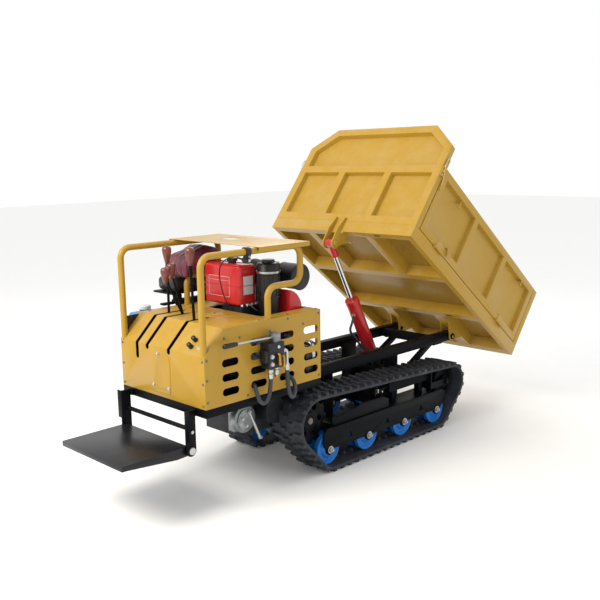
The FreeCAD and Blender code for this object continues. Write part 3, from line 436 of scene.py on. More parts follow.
def hexBolt(centre, axis, across, head, washer=0.0, shank=0.0):
    # Hexagon head with chamfered corners on a round washer.
    bolt = bmesh.new()
    r = across / 2 / math.cos(math.pi / 6)
    axis = Vector(axis).normalized()
    start = Vector(centre)
    if washer > 0:
        addSolid(bolt, turnedSolid([(0, 0), (0, washer), (across * 0.12, washer),
                                    (across * 0.14, washer * 0.97), (across * 0.14, 0)], start, axis, 24))
        start = start + axis * across * 0.12
    addSolid(bolt, turnedSolid([(0, 0), (0, r), (head * 0.8, r), (head, r * 0.86), (head, 0)], start, axis,
                               6))
    if shank > 0:
        addSolid(bolt, turnedSolid([(head * 0.5, shank), (head * 1.7, shank), (head * 1.8, shank * 0.85),
                                    (head * 1.8, 0)], start, axis, 16))
    return bolt


def boltSet(name, spots, material, body, across=0.013, head=0.006, washer=0.011, shank=0.0):
    group = bmesh.new()
    for centre, axis in spots:
        addSolid(group, hexBolt(centre, axis, across, head, washer, shank))
    return newPiece(name, group, material, body)


def dressed(node, material, body, edge=0.002):
    # The designed shape with its corners rounded as pressed and welded steel has them.
    data = cadNodes[node].data.copy()
    data.name = node + "_dressed"
    solid = bmesh.new()
    solid.from_mesh(data)
    bmesh.ops.remove_doubles(solid, verts=solid.verts[:], dist=1e-5)
    bmesh.ops.dissolve_limit(solid, angle_limit=math.radians(0.8), verts=solid.verts[:],
                             edges=solid.edges[:], use_dissolve_boundaries=False)
    solid.to_mesh(data)
    solid.free()
    piece = newPiece(node + "_skin", data, material, body)
    if edge > 0:
        bevel = piece.modifiers.new("edges", "BEVEL")
        bevel.width = edge
        bevel.segments = 2
        bevel.limit_method = "ANGLE"
        bevel.angle_limit = math.radians(42)
        bevel.use_clamp_overlap = True
        bevel.harden_normals = False
        applyModifiers(piece)
    piece.data.set_sharp_from_angle(angle=math.radians(32))
    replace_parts(piece, node)
    return piece


def applyModifiers(piece):
    bpy.context.view_layer.update()
    graph = bpy.context.evaluated_depsgraph_get()
    solved = bpy.data.meshes.new_from_object(piece.evaluated_get(graph))
    piece.modifiers.clear()
    piece.data = solved


def weldBead(paths, radius=0.0035, pitch=0.006):
    # Overlapping ripples along each seam.
    bead = bmesh.new()
    for a, b in paths:
        a, b = Vector(a), Vector(b)
        count = max(4, int((b - a).length / pitch * 3))
        path = [a.lerp(b, i / count) for i in range(count + 1)]
        radii = [radius * (0.86 + 0.14 * math.cos(2 * math.pi * i / 3)) for i in range(count + 1)]
        addSolid(bead, tubeSolid(path, radius, 8, radii))
    return bead


# Places are in millimetres from the cab's front panel.
cabStation = 1.306
bedPlan = {"pivotX": 2445.0, "pivotZ": 582.0, "tip": math.radians(37.8)}


def at(x, y, z):
    return Vector((x / 1000 - cabStation, y / 1000, z / 1000))


def inBed(x, y, z):
    # x runs along the bed from its hinge, z up from its floor frame.
    c, s = math.cos(bedPlan["tip"]), math.sin(bedPlan["tip"])
    return at(bedPlan["pivotX"] + c * x + s * z, y, bedPlan["pivotZ"] - s * x + c * z)


bedAlong = (inBed(1000, 0, 0) - inBed(0, 0, 0)).normalized()
bedUp = (inBed(0, 0, 1000) - inBed(0, 0, 0)).normalized()
outRight, outLeft = Vector((0, -1, 0)), Vector((0, 1, 0))
toFront, toRear, toSky = Vector((-1, 0, 0)), Vector((1, 0, 0)), Vector((0, 0, 1))


# Hull panels: folded sheet with slotted vents, held by small screws
hull = {"edge": 0.0011, "screwAcross": 0.0085, "screwHead": 0.0030, "side": 382.5}
for panel in ("hood_side_right", "hood_side_left", "hood_front", "hood_slope", "hood_deck", "hood_rear",
              "canopy"):
    dressed(panel, yellowEnamel, "chassis", hull["edge"])

sideScrews = []
for side, out in ((-1, outRight), (1, outLeft)):
    for x, z in ((16, 640), (16, 760), (16, 868), (140, 968), (875, 625), (875, 1000), (300, 622),
                 (600, 622), (620, 1004), (250, 955), (480, 955), (745, 955)):
        sideScrews.append((at(x, side * hull["side"], z), out))
for y in (-365, 365):
    for z in (622, 740, 862):
        sideScrews.append((at(0, y, z), toFront))
for x, y in ((190, 350), (470, 355), (880, 355), (880, -355), (640, -358), (420, -358), (400, 0),
             (420, 250)):
    sideScrews.append((at(x, y, 1022), toSky))
boltSet("hull_screws", sideScrews, rawSteel, "chassis", hull["screwAcross"], hull["screwHead"],
        0.0075)
coverScrews = [(at(-3, y, z), toFront) for y, z in ((21, 849), (70, 663), (-70, 663))]
boltSet("cover_screws", coverScrews, zincSteel, "chassis", 0.012, 0.005, 0.012)
# A black sheet just inside the far side panel is painted shade: it keeps the view through the vent slots
# dark.
newPiece("vent_shade_sheet", boxSolid(at(8, 371, 612), at(884, 374, 1012), 0.0005, 1), heatBlack, "chassis")
print("hull done")


def steadyBead(name, paths, material, body, radius=0.0035):
    return newPiece(name, weldBead(paths, radius), material, body, 60)


# Handrails: one bent tube a side, welded to round feet
handrail = {"radius": 0.0185, "bend": 0.062, "spread": 360.0, "top": 1410.0, "post": 747.0, "low": 1198.0,
            "rear": 485.0, "front": 14.0, "foldHeight": 885.0, "slopeRise": 137.0, "slopeRun": 140.0,
            "deck": 1022.0}
slopeUp = Vector((-handrail["slopeRise"], 0, handrail["slopeRun"])).normalized()


def bendHandrail(name, node, side):
    y = side * handrail["spread"]
    corners = [at(handrail["front"], y, handrail["foldHeight"] - 30),
               at(handrail["front"], y, handrail["top"]),
               at(handrail["post"], y, handrail["top"]), at(handrail["post"], y, handrail["low"]),
               at(handrail["rear"], y, handrail["low"]), at(handrail["rear"], y, handrail["deck"])]
    tube = tubeSolid(roundedPath(corners, handrail["bend"], 12), handrail["radius"], 32)
    slopePoint = at(0, 0, handrail["foldHeight"])
    front = [face for face in tube.faces if face.calc_center_median().x < at(60, 0, 0).x]
    around = set(front)
    for face in front:
        around.update(face.edges)
        around.update(face.verts)
    cut = bmesh.ops.bisect_plane(tube, geom=list(around), plane_co=slopePoint, plane_no=slopeUp,
                                 clear_inner=True)
    edges = [item for item in cut["geom_cut"] if isinstance(item, bmesh.types.BMEdge)]
    bmesh.ops.holes_fill(tube, edges=edges, sides=0)
    piece = newPiece(name, tube, yellowEnamel, "chassis", 50)
    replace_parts(piece, node)
    ring = [at(handrail["rear"] + 19.5 * math.cos(a), y + 19.5 * math.sin(a), handrail["deck"] + 1)
            for a in [2 * math.pi * k / 24 for k in range(25)]]
    steadyBead(name + "_weld", list(zip(ring, ring[1:])), yellowEnamel, "chassis")


bendHandrail("handrail_tube_right", "handrail_right", -1)
bendHandrail("handrail_tube_left", "handrail_left", 1)
print("handrails done")


# Chassis, cross tubes, ram mount and the frames between the tracks: welded black section
for part in ("base_frame", "chassis_rails", "chassis_cross", "chassis_braces", "step_arms", "left_brackets",
             "track_frame_right", "track_frame_left", "track_tensioner_right", "track_tensioner_left",
             "sprocket_right", "sprocket_left"):
    dressed(part, blackEnamel, "chassis", 0.0022)
treadEnamel = sprayedEnamel("treadEnamel",
                            {**enamelShared, "main": "#101219", "faded": "#181A20", "dust": "#5A5043",
                             "dustHigh": 0.2, "primer": "#4A4540", "chipFrom": 0.7,
                             "roughness": 0.34, "coat": 0.05, "shine": 0.3})
dressed("step_platform", treadEnamel, "step", 0.0018)
stepPivots = []
for side, out in ((-1, outRight), (1, outLeft)):
    stepPivots.append((at(-45, side * 315, 480), out))
    newPiece("step_pin_left" if side > 0 else "step_pin_right",
             turnedSolid([(0, 0), (0, 0.0205), (0.009, 0.0205), (0.0105, 0.019), (0.0105, 0)],
                         at(-45, side * 306.4, 372), out, 36), zincSteel, "chassis", 35)
boltSet("step_bolts", stepPivots, zincSteel, "chassis", 0.018, 0.006, 0.0)
for part in ("gearbox", "engine_block"):
    dressed(part, castIron, "chassis", 0.003)
dressed("brake_drum", castAluminium, "chassis", 0.004)
newPiece("brake_arm", tubeSolid([at(465, -207, 452), at(508, -207, 361), at(548, -207, 276)], 0.0085, 20),
         zincSteel, "chassis", 50)
boltSet("brake_bolts", [(at(465, -207, 452), outRight), (at(548, -207, 276), outRight),
                        (at(410, -204, 420), outRight),
                        (at(440, -204, 372), outRight)], zincSteel, "chassis", 0.018, 0.010, 0.013)
ribs = bmesh.new()
for k in range(9):
    addSolid(ribs, turnedSolid([(0, 0.05), (0, 0.088 - 0.001 * k), (0.006, 0.088 - 0.001 * k),
                                (0.006, 0.05)],
                               at(640, -152 - 11 * k, 430), (0, -1, 0), 48))
newPiece("drive_motor_ribs", ribs, castIron, "chassis", 35)
print("chassis done")


# Engine dressing: studs, an injector line, a rocker cover and the silver fasteners under the tank
engine = {"lineRadius": 0.004, "pulleyRadius": 0.062, "pulleyGroove": 0.012, "sheaves": (-205, -225)}
newPiece("rocker_cover", boxSolid(at(562, -52, 968), at(650, 46, 1041), 0.008, 4), castAluminium, "chassis")
studs = [(at(x, y, 1040), toSky) for x in (580, 640, 700, 760) for y in (-50, 100)]
boltSet("head_studs", studs, zincSteel, "chassis", 0.016, 0.010, 0.012, 0.005)
injector = tubeSolid(curvedPath([at(585, -40, 1046), at(582, -58, 1064), at(600, -84, 1052),
                                 at(640, -92, 1020),
                                 at(690, -84, 985), at(710, -76, 950)], 8), engine["lineRadius"], 12)
newPiece("injector_line", injector, zincSteel, "chassis")
gearCase = turnedSolid([(0, 0), (0, 0.098), (0.012, 0.104), (0.03, 0.104), (0.036, 0.09), (0.036, 0.05),
                        (0.05, 0.046), (0.05, 0)], at(600, -120, 800), (0, -1, 0), 40)
newPiece("gear_case", gearCase, castAluminium, "chassis")
pulley = bmesh.new()
rimRadius = engine["pulleyRadius"]
for y in engine["sheaves"]:
    addSolid(pulley, turnedSolid([(0, 0.03), (0, rimRadius), (0.006, rimRadius),
                                  (0.010, rimRadius - engine["pulleyGroove"]), (0.014, rimRadius),
                                  (0.020, rimRadius), (0.020, 0.03)], at(700, y, 760), (0, 1, 0), 48))
newPiece("drive_pulley", pulley, castIron, "chassis")

newPiece("battery_box", boxSolid(at(792, -356, 606), at(884, -180, 772), 0.006, 3), mouldedPlastic,
         "chassis")
newPiece("return_pipe",
         tubeSolid(roundedPath([at(862, -350, 700), at(862, -350, 812), at(862, -120, 826)], 0.03, 8),
                   0.019, 24), zincSteel, "chassis", 50)

# Fuel tank: two pressed halves in red gloss enamel, with blank plates
tank = {"low": (530, -77, 1046), "high": (668, 245, 1290), "round": 0.022, "seam": 1166}
shell = boxSolid(at(*tank["low"]), at(*tank["high"]), tank["round"], 7)
addSolid(shell, boxSolid(at(527, -80, tank["seam"] - 2), at(671, 248, tank["seam"] + 2), 0.0018, 2))
for x, y in ((560, 60), (636, 60)):
    addSolid(shell, boxSolid(at(x - 3, -60, 1287), at(x + 3, 228, 1293), 0.002, 2))
for y0, y1 in ((-40, -10), (70, 100)):
    addSolid(shell, boxSolid(at(575, y0, 1040), at(625, y1, 1066), 0.002, 2))
redTank = newPiece("tank_shell", shell, redEnamel, "chassis", 40)
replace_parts(redTank, "fuel_tank")
newPiece("tank_cap", turnedSolid([(0, 0), (0, 0.024), (0.012, 0.024), (0.012, 0.031), (0.014, 0.0325),
                                  (0.026, 0.0325), (0.030, 0.029), (0.030, 0)], at(600, 60, 1290),
                                 (0, 0, 1), 40),
         mouldedPlastic, "chassis")
newPiece("tank_side_plate", boxSolid(at(562, -78.2, 1114), at(638, -76.8, 1222), 0.0004, 1), labelFilm,
         "chassis")
frameLines = bmesh.new()
border = {"low": 1097, "high": 1217, "left": 10, "right": 197, "line": 1.8, "ruleHeight": 1192,
          "ruleInset": 8}
left, right, low, high = border["left"], border["right"], border["low"], border["high"]
line = border["line"]
for y0, y1, z0, z1 in ((left, right, high - line, high), (left, right, low, low + line),
                       (left, left + line, low, high), (right - line, right, low, high),
                       (left + border["ruleInset"], right - border["ruleInset"], border["ruleHeight"],
                        border["ruleHeight"] + 1.2)):
    addSolid(frameLines, boxSolid(at(529.4, y0, z0), at(530.2, y1, z1), 0.0, 1))
newPiece("tank_front_border", frameLines, labelFilm, "chassis")
boltSet("tank_bolts", [(at(x, -78, 1052), outRight) for x in (545, 585, 625, 655)]
        + [(at(600, y, 1062), toFront) for y in (-20, 40, 90)], zincSteel, "chassis", 0.013, 0.008,
        0.011)

# Air filter: ribbed plastic can with a steel clamp
filterCan = turnedSolid([(0, 0), (0, 0.050), (0.006, 0.058), (0.05, 0.062), (0.105, 0.066), (0.108, 0.071),
                         (0.116, 0.071), (0.119, 0.066), (0.244, 0.068), (0.247, 0.071), (0.253, 0.071),
                         (0.256, 0.069), (0.300, 0.069), (0.309, 0.062), (0.313, 0.040), (0.328, 0.036),
                         (0.328, 0)], at(695, -152, 990), (0, 0, 1), 56)
addSolid(filterCan, boxSolid(at(677, -120, 975), at(713, -68, 995), 0.003, 2))
for k in range(16):
    angle = 2 * math.pi * k / 16
    x, y = 695 + 67.5 * math.cos(angle), -152 + 67.5 * math.sin(angle)
    addSolid(filterCan, boxSolid(at(x - 2, y - 2, 1112), at(x + 2, y + 2, 1232), 0.001, 1))
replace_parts(newPiece("filter_can", filterCan, mouldedPlastic, "chassis", 40), "air_filter")
newPiece("filter_clamp", turnedSolid([(0, 0.069), (0, 0.0722), (0.012, 0.0722), (0.012, 0.069)],
                                     at(695, -152, 1240), (0, 0, 1), 56), zincSteel, "chassis")
newPiece("air_duct",
         tubeSolid(roundedPath([at(715, -130, 1272), at(760, -110, 1272), at(800, -60, 1180)], 0.03, 8),
                   0.027, 28), castAluminium, "chassis")

# Exhaust silencer across the engine, its end caps rolled over the shell
silencer = {"x": 855, "z": 1205}
body = turnedSolid([(0, 0), (0.0, 0.052), (0.004, 0.066), (0.006, 0.076), (0.010, 0.080), (0.016, 0.080),
                    (0.020, 0.077), (0.150, 0.077), (0.152, 0.079), (0.156, 0.079), (0.158, 0.077),
                    (0.398, 0.077), (0.402, 0.080), (0.410, 0.080), (0.414, 0.074), (0.418, 0.052),
                    (0.418, 0)],
                   at(silencer["x"], -268, silencer["z"]), (0, 1, 0), 64)
addSolid(body, tubeSolid(roundedPath([at(780, 60, 1040), at(780, 60, 1150), at(835, 60, 1190)], 0.035, 8),
                         0.020, 24))
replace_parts(newPiece("silencer", body, heatBlack, "chassis", 40), "muffler")
newPiece("silencer_strap", turnedSolid([(0, 0.077), (0, 0.0795), (0.024, 0.0795), (0.024, 0.077)],
                                       at(silencer["x"], -120, silencer["z"]), (0, 1, 0), 64), zincSteel,
         "chassis")
dressed("fan_cover", redEnamel, "chassis", 0.010)
print("engine done")


# Hand levers: black rods in forks, turned wooden grips
levers = {"rod": 0.008, "thinRod": 0.0062, "foot": 723.0}
leverRods = [((233, 220, levers["foot"]), (239, 220, 1340), levers["rod"], (239, 220, 1312), 0.102),
             ((198, -76, levers["foot"]), (183, -66, 1350), levers["rod"], (183, -66, 1327), 0.102),
             ((285, 115.5, 960), (137, 108, 1250), levers["thinRod"], (137, 106, 1218), 0.090),
             ((285, 128.5, 960), (204, 134, 1262), levers["thinRod"], (204, 136, 1234), 0.090)]
rods, grips = bmesh.new(), bmesh.new()
for low, high, radius, grip, tall in leverRods:
    addSolid(rods, tubeSolid([at(*low), at(*low).lerp(at(*high), 0.5), at(*high)], radius, 20))
    addSolid(grips, turnedSolid([(0, 0), (0, 0.0115), (0.003, 0.0135), (tall * 0.35, 0.0205),
                                 (tall * 0.62, 0.0262),
                                 (tall * 0.8, 0.0272), (tall * 0.92, 0.0235), (tall * 0.98, 0.015),
                                 (tall, 0.007), (tall, 0)], at(*grip), (0, 0, 1), 32))
addSolid(rods, tubeSolid([at(285, 122, levers["foot"]), at(285, 122, 850), at(285, 122, 985)], 0.007, 20))
addSolid(rods, tubeSolid([at(260, -110, levers["foot"]), at(260, 60, levers["foot"]),
                          at(260, 240, levers["foot"])],
                         0.011, 20))
for y in (220, 122, -75):
    addSolid(rods, boxSolid(at(195, y - 6, 715), at(285, y + 6, 731), 0.0015, 2))
for y in (-105, 170, 235):
    addSolid(rods, boxSolid(at(250, y - 5, 603), at(270, y + 5, 723), 0.0015, 2))
addSolid(rods, boxSolid(at(245, -115, 603), at(275, 245, 609), 0.0015, 2))
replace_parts(newPiece("lever_rods", rods, blackEnamel, "chassis", 50), "hand_levers")
newPiece("lever_grips", grips, stainedBeech, "chassis", 50)

# Two rotary switches standing on the slope beside the near lever
switches = {"stations": (34, 66), "across": -238, "radius": 0.014, "tall": 0.034}
switchSet = bmesh.new()
for x in switches["stations"]:
    foot = at(x, switches["across"],
              handrail["foldHeight"] + handrail["slopeRise"] * x / handrail["slopeRun"])
    wide, tall = switches["radius"], switches["tall"]
    addSolid(switchSet, turnedSolid([(-0.002, 0), (-0.002, wide), (0.010, wide), (0.012, wide * 0.7),
                                     (0.020, wide * 0.7), (0.022, wide), (tall - 0.003, wide * 0.9),
                                     (tall, wide * 0.6), (tall, 0)], foot, slopeUp, 28))
newPiece("switch_knobs", switchSet, mouldedPlastic, "chassis", 40)
newPiece("switch_plate", boxSolid(at(30, -312, 906), at(34, -288, 930), 0.001, 1), zincSteel, "chassis")

# Throttle: a clamp on the near handrail with its own small lever
dressed("throttle_clamp", mouldedPlastic, "chassis", 0.0025)
boltSet("throttle_screws", [(at(335, -383, 1364), outRight), (at(345, -372, 1380), outRight)], zincSteel,
        "chassis", 0.011, 0.006, 0.009)


def ropeCurve(name, route, radius, material):
    # The route's points are the spline's control points, order 3, clamped to both ends.
    data = bpy.data.curves.new(name, "CURVE")
    data.dimensions = "3D"
    data.bevel_depth = radius
    data.bevel_resolution = 5
    data.resolution_u = 10
    data.use_fill_caps = True
    spline = data.splines.new("NURBS")
    spline.points.add(len(route) - 1)
    for point, place in zip(spline.points, route):
        point.co = (*at(*place), 1.0)
    spline.order_u = 3
    spline.use_endpoint_u = True
    data.materials.append(material)
    line = bpy.data.objects.new(name, data)
    bpy.context.scene.collection.objects.link(line)
    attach(line, "chassis")
    return line


# Throttle cable and the two valve hoses, held at both ends
cableRoute = [(354, -356, 1364), (430, -300, 1380), (470, -220, 1370), (440, -60, 1345), (470, 40, 1260),
              (500, 40, 1120), (525, 20, 1046), (535, 10, 975)]
throttleCable = ropeCurve("throttle_cable_line", cableRoute, 0.0035, mouldedPlastic)
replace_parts(throttleCable, "throttle_cable")
frontHose = [(430, -431, 703), (429, -431, 655), (408, -432, 582), (374, -430, 563), (345, -424, 590),
             (338, -412, 640), (348, -392, 668), (352, -360, 672), (353, -335, 672)]
rearHose = [(545, -445, 739), (546, -445, 690), (556, -446, 600), (586, -444, 552), (616, -438, 585),
            (626, -425, 635), (620, -400, 666), (608, -370, 672), (604, -340, 672)]
for name, route in (("valve_hose_front", frontHose), ("valve_hose_rear", rearHose)):
    hose = ropeCurve(name, route, 0.012, hoseRubber)
    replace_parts(hose, "valve_hoses")
print("hoses done")


# Directional valve: cast body on the near panel, with plated unions and a long hand lever
valveBody = bmesh.new()
addSolid(valveBody, boxSolid(at(392, -466, 762), at(508, -396, 905), 0.004, 3))
addSolid(valveBody, boxSolid(at(372, -458, 800), at(520, -404, 868), 0.006, 3))
addSolid(valveBody, boxSolid(at(400, -396, 780), at(500, -382.5, 900), 0.002, 2))
valvePiece = newPiece("valve_body", valveBody, valveIron, "chassis", 40)
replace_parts(valvePiece, "control_valve")
valveHead = boxSolid(at(440, -456, 903), at(490, -406, 953), 0.004, 3)
addSolid(valveHead, boxSolid(at(446, -452, 953), at(484, -410, 958), 0.002, 2))
newPiece("valve_head", valveHead, castAluminium, "chassis", 40)
unions = bmesh.new()
for x, z in ((410, 790), (410, 832)):
    addSolid(unions, hexBolt(at(x, -466, z), outRight, 0.020, 0.008, 0.013))
addSolid(unions, hexBolt(at(462, -466, 880), outRight, 0.014, 0.006, 0.010))
for x, y, low, top in ((430, -431, 700, 762), (476, -431, 716, 762)):
    addSolid(unions, turnedSolid([(0, 0), (0, 0.0135), (0.004, 0.0145), (0.026, 0.0145), (0.030, 0.011),
                                  (0.036, 0.011), (0.036, 0.016), (0.052, 0.016), (0.055, 0.010),
                                  ((top - low) / 1000, 0.010), ((top - low) / 1000, 0)], at(x, y, low),
                                 (0, 0, 1), 24))
addSolid(unions, tubeSolid(roundedPath([at(508, -445, 850), at(545, -445, 850), at(545, -445, 770)], 0.020,
                                       10),
                           0.0095, 24))
addSolid(unions, hexBolt(at(508, -445, 850), toRear, 0.030, 0.014))
addSolid(unions, turnedSolid([(0, 0), (0, 0.0145), (0.036, 0.0145), (0.040, 0.0105), (0.048, 0.0105),
                              (0.048, 0)],
                             at(545, -445, 732), (0, 0, 1), 24))
newPiece("valve_unions", unions, zincSteel, "chassis", 40)
brassSet = bmesh.new()
addSolid(brassSet, hexBolt(at(508, -418, 792), toRear, 0.026, 0.018))
addSolid(brassSet, turnedSolid([(0, 0), (0, 0.012), (0.010, 0.012), (0.010, 0)], at(526, -418, 792),
                               (1, 0, 0), 24))
addSolid(brassSet, hexBolt(at(476, -431, 716), (0, 0, -1), 0.022, 0.014))
for x, top in ((452, 842), (484, 826)):
    bend = roundedPath([at(x, -462, top), at(x, -484, top), at(x, -484, top - 58)], 0.012, 6)
    addSolid(brassSet, tubeSolid(bend, 0.008, 18))
    addSolid(brassSet, hexBolt(at(x, -484, top - 44), (0, 0, -1), 0.021, 0.016))
newPiece("valve_brass", brassSet, brassFitting, "chassis", 40)
newPiece("valve_lever", tubeSolid([at(440, -431, 930), at(300, -431, 936), at(180, -431, 938)], 0.0065, 20),
         zincSteel, "chassis", 50)
newPiece("valve_grip", turnedSolid([(0, 0), (0, 0.008), (0.004, 0.0125), (0.012, 0.014), (0.080, 0.0128),
                                    (0.092, 0.0115), (0.098, 0.0078), (0.098, 0)], at(92, -431, 938),
                                   (1, 0, 0), 28),
         mouldedPlastic, "chassis", 50)
print("valve done")


# Rubber tracks: a moulded band with two staggered rows of stepped lugs outside and guide horns inside
trackPlan = {"middle": 320.0, "width": 240.0, "band": 18.0, "lug": 17.0, "lugs": 54, "rollerHeight": 135.0,
             "firstRoller": 955.0, "lastRoller": 2075.0, "idler": (2215.0, 305.0, 150.0),
             "sprocket": (835.0, 335.0, 185.0), "horn": 20.0}
wheelSet = [(trackPlan["firstRoller"], trackPlan["rollerHeight"], trackPlan["rollerHeight"]),
            (trackPlan["lastRoller"], trackPlan["rollerHeight"], trackPlan["rollerHeight"]),
            trackPlan["idler"], trackPlan["sprocket"]]


def trackLine(inset):
    # Straight runs and arcs round the wheels, as (start, end, centre, radius, first angle, turn).
    circles = [(x, z, r - inset) for x, z, r in wheelSet]
    angles = []
    for (ax, az, ar), (bx, bz, br) in zip(circles, circles[1:] + circles[:1]):
        reach = math.hypot(bx - ax, bz - az)
        angles.append(math.atan2(bz - az, bx - ax) - math.pi / 2 + math.asin((ar - br) / reach))
    parts = []
    for i, (x, z, r) in enumerate(circles):
        first, last = angles[i - 1], angles[i]
        turn = (last - first) % (2 * math.pi)
        parts.append(("arc", x, z, r, first, turn, r * turn))
        nx, nz, nr = circles[(i + 1) % len(circles)]
        a = (x + r * math.cos(last), z + r * math.sin(last))
        b = (nx + nr * math.cos(last), nz + nr * math.sin(last))
        parts.append(("run", a, b, last, math.hypot(b[0] - a[0], b[1] - a[1])))
    return parts


outerLine = trackLine(trackPlan["lug"])
outerLength = sum(part[-1] for part in outerLine)


def onTrack(distance, across, height):
    # A point beside the band's outer face: distance round the loop, across the track, height off the face.
    distance %= outerLength
    for part in outerLine:
        if distance > part[-1]:
            distance -= part[-1]
            continue
        if part[0] == "arc":
            x, z, r, first, turn, length = part[1:]
            angle = first + turn * distance / length
            return at(x + (r + height) * math.cos(angle), across, z + (r + height) * math.sin(angle))
        a, b, angle, length = part[1:]
        t = distance / length
        return at(a[0] + (b[0] - a[0]) * t + height * math.cos(angle), across,
                  a[1] + (b[1] - a[1]) * t + height * math.sin(angle))
    return onTrack(0.001, across, height)


def looped(solid, outline, low, high, start, mirror, shrink=0.0):
    # A block standing on the band: outline holds (along, across) pairs, smaller towards its top.
    middleA = sum(p[0] for p in outline) / len(outline)
    middleC = sum(p[1] for p in outline) / len(outline)
    rings = []
    for height, inset in ((low, 0.0), (high - 2.5, shrink * 0.6), (high, shrink)):
        ring = []
        for along, across in outline:
            a = along - math.copysign(min(inset, abs(along - middleA)), along - middleA)
            c = across - math.copysign(min(inset, abs(across - middleC)), across - middleC)
            ring.append(solid.verts.new(onTrack(start + a, mirror(c), height)))
        rings.append(ring)
    count = len(outline)
    for lower, upper in zip(rings, rings[1:]):
        for k in range(count):
            solid.faces.new((lower[k], lower[(k + 1) % count], upper[(k + 1) % count], upper[k]))
    solid.faces.new(rings[0])
    solid.faces.new(rings[-1])


def buildTrack(name, node, side):
    solid = bmesh.new()
    half, depth = trackPlan["width"] / 2, trackPlan["band"]
    section = [(-half + 3, 0), (-half, -4), (-half, -depth + 5), (-half + 5, -depth), (-22, -depth),
               (22, -depth),
               (half - 5, -depth), (half, -depth + 5), (half, -4), (half - 3, 0), (30, 0), (-30, 0)]
    steps = trackPlan["lugs"] * 5
    rings = []
    for i in range(steps):
        s = outerLength * i / steps
        rings.append([solid.verts.new(onTrack(s, side * trackPlan["middle"] + c, h)) for c, h in section])
    for i in range(steps):
        lower, upper = rings[i], rings[(i + 1) % steps]
        for k in range(len(section)):
            j = (k + 1) % len(section)
            solid.faces.new((lower[k], lower[j], upper[j], upper[k]))
    stepped = [(-15, 3), (11, 3), (11, 46), (31, 62), (31, 110), (7, 110), (5, 78), (-15, 60)]
    pitch = outerLength / trackPlan["lugs"]
    for row, mirrored in ((0, 1), (1, -1)):
        for k in range(trackPlan["lugs"]):
            start = (k + 0.5 * row) * pitch
            looped(solid, stepped, -1.0, trackPlan["lug"], start,
                   lambda c: side * trackPlan["middle"] + mirrored * (half - c), 3.2)
    horn = [(-11, -17), (11, -17), (11, 17), (-11, 17)]
    for k in range(trackPlan["lugs"]):
        ring = []
        for height, inset in ((-depth + 1, 0.0), (-depth - trackPlan["horn"] + 4, 3.0),
                              (-depth - trackPlan["horn"], 5.5)):
            ring.append([solid.verts.new(onTrack(
                (k + 0.27) * pitch + math.copysign(abs(a) - inset, a),
                side * trackPlan["middle"] + math.copysign(abs(c) - inset, c), height)) for a, c in horn])
        for lower, upper in zip(ring, ring[1:]):
            for j in range(4):
                solid.faces.new((lower[j], lower[(j + 1) % 4], upper[(j + 1) % 4], upper[j]))
        solid.faces.new(ring[0])
        solid.faces.new(ring[-1])
    piece = newPiece(name, solid, trackRubber, "chassis", 25)
    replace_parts(piece, node)
    return piece


wheel = {"stations": (955.0, 1328.0, 1701.0, 2075.0), "height": 135.0, "flange": 0.0995, "core": 0.070}


def buildWheels(word, side):
    turned = bmesh.new()
    bolts = []
    axis = (0, side, 0)
    for x in wheel["stations"]:
        f, c = wheel["flange"], wheel["core"]
        profile = [(0, 0.016), (0, 0.046), (0.004, 0.052), (0.004, f - 0.012), (0.000, f - 0.008),
                   (0.000, f - 0.002),
                   (0.002, f), (0.030, f), (0.034, f - 0.006), (0.034, c + 0.004), (0.038, c), (0.090, c),
                   (0.094, c + 0.004), (0.094, f - 0.006), (0.098, f), (0.126, f), (0.128, f - 0.002),
                   (0.128, f - 0.008), (0.120, f - 0.014), (0.120, 0.058), (0.128, 0.050), (0.132, 0.044),
                   (0.132, 0.016)]
        addSolid(turned, turnedSolid(profile, at(x, side * 256, wheel["height"]), axis, 56))
        bolts.append((at(x, side * 402, wheel["height"]), Vector(axis)))
    rollers = newPiece("rollers_" + word, turned, blueEnamel, "chassis", 35)
    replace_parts(rollers, "track_wheels_" + word)
    boltSet("roller_bolts_" + word, bolts, zincSteel, "chassis", 0.026, 0.012, 0.024, 0.008)
    shafts = bmesh.new()
    for x in wheel["stations"]:
        addSolid(shafts, turnedSolid([(0, 0), (0, 0.016), (0.172, 0.016), (0.172, 0)],
                                     at(x, side * 236, 135), axis, 24))
    newPiece("roller_shafts_" + word, shafts, rawSteel, "chassis")
    rim = 0.1147
    idlerProfile = [(0, 0.014), (0, 0.040), (0.020, 0.046), (0.022, rim - 0.018), (0.014, rim - 0.012),
                    (0.007, rim - 0.003),
                    (0.010, rim), (0.030, rim), (0.034, rim - 0.022), (0.050, rim - 0.022), (0.054, rim),
                    (0.076, rim), (0.079, rim - 0.003), (0.072, rim - 0.012), (0.064, rim - 0.018),
                    (0.066, 0.046), (0.086, 0.040), (0.086, 0.014)]
    idlerWheel = turnedSolid(idlerProfile, at(2215, side * 278, 305), axis, 56)
    addSolid(idlerWheel, turnedSolid([(0, 0), (0, 0.014), (0.132, 0.014), (0.132, 0)],
                                     at(2215, side * 256, 305), axis, 24))
    addSolid(idlerWheel, hexBolt(at(2215, side * 380, 305), axis, 0.030, 0.010, 0.022))
    newPiece("idler_wheel_" + word, idlerWheel, blackEnamel, "chassis", 35)
    rod = bmesh.new()
    path = [at(1440 + k * 1.6, side * 320, 380) for k in range(101)]
    addSolid(rod, tubeSolid(path, 0.012, 16, [0.0120 if k % 2 else 0.0104 for k in range(101)]))
    for x in (1470, 1486):
        addSolid(rod, turnedSolid([(0, 0), (0, 0.020), (0.001, 0.0225), (0.013, 0.0225), (0.014, 0.020),
                                   (0.014, 0)],
                                  at(x, side * 320, 380), (1, 0, 0), 6))
    newPiece("tension_rod_" + word, rod, zincSteel, "chassis", 40)


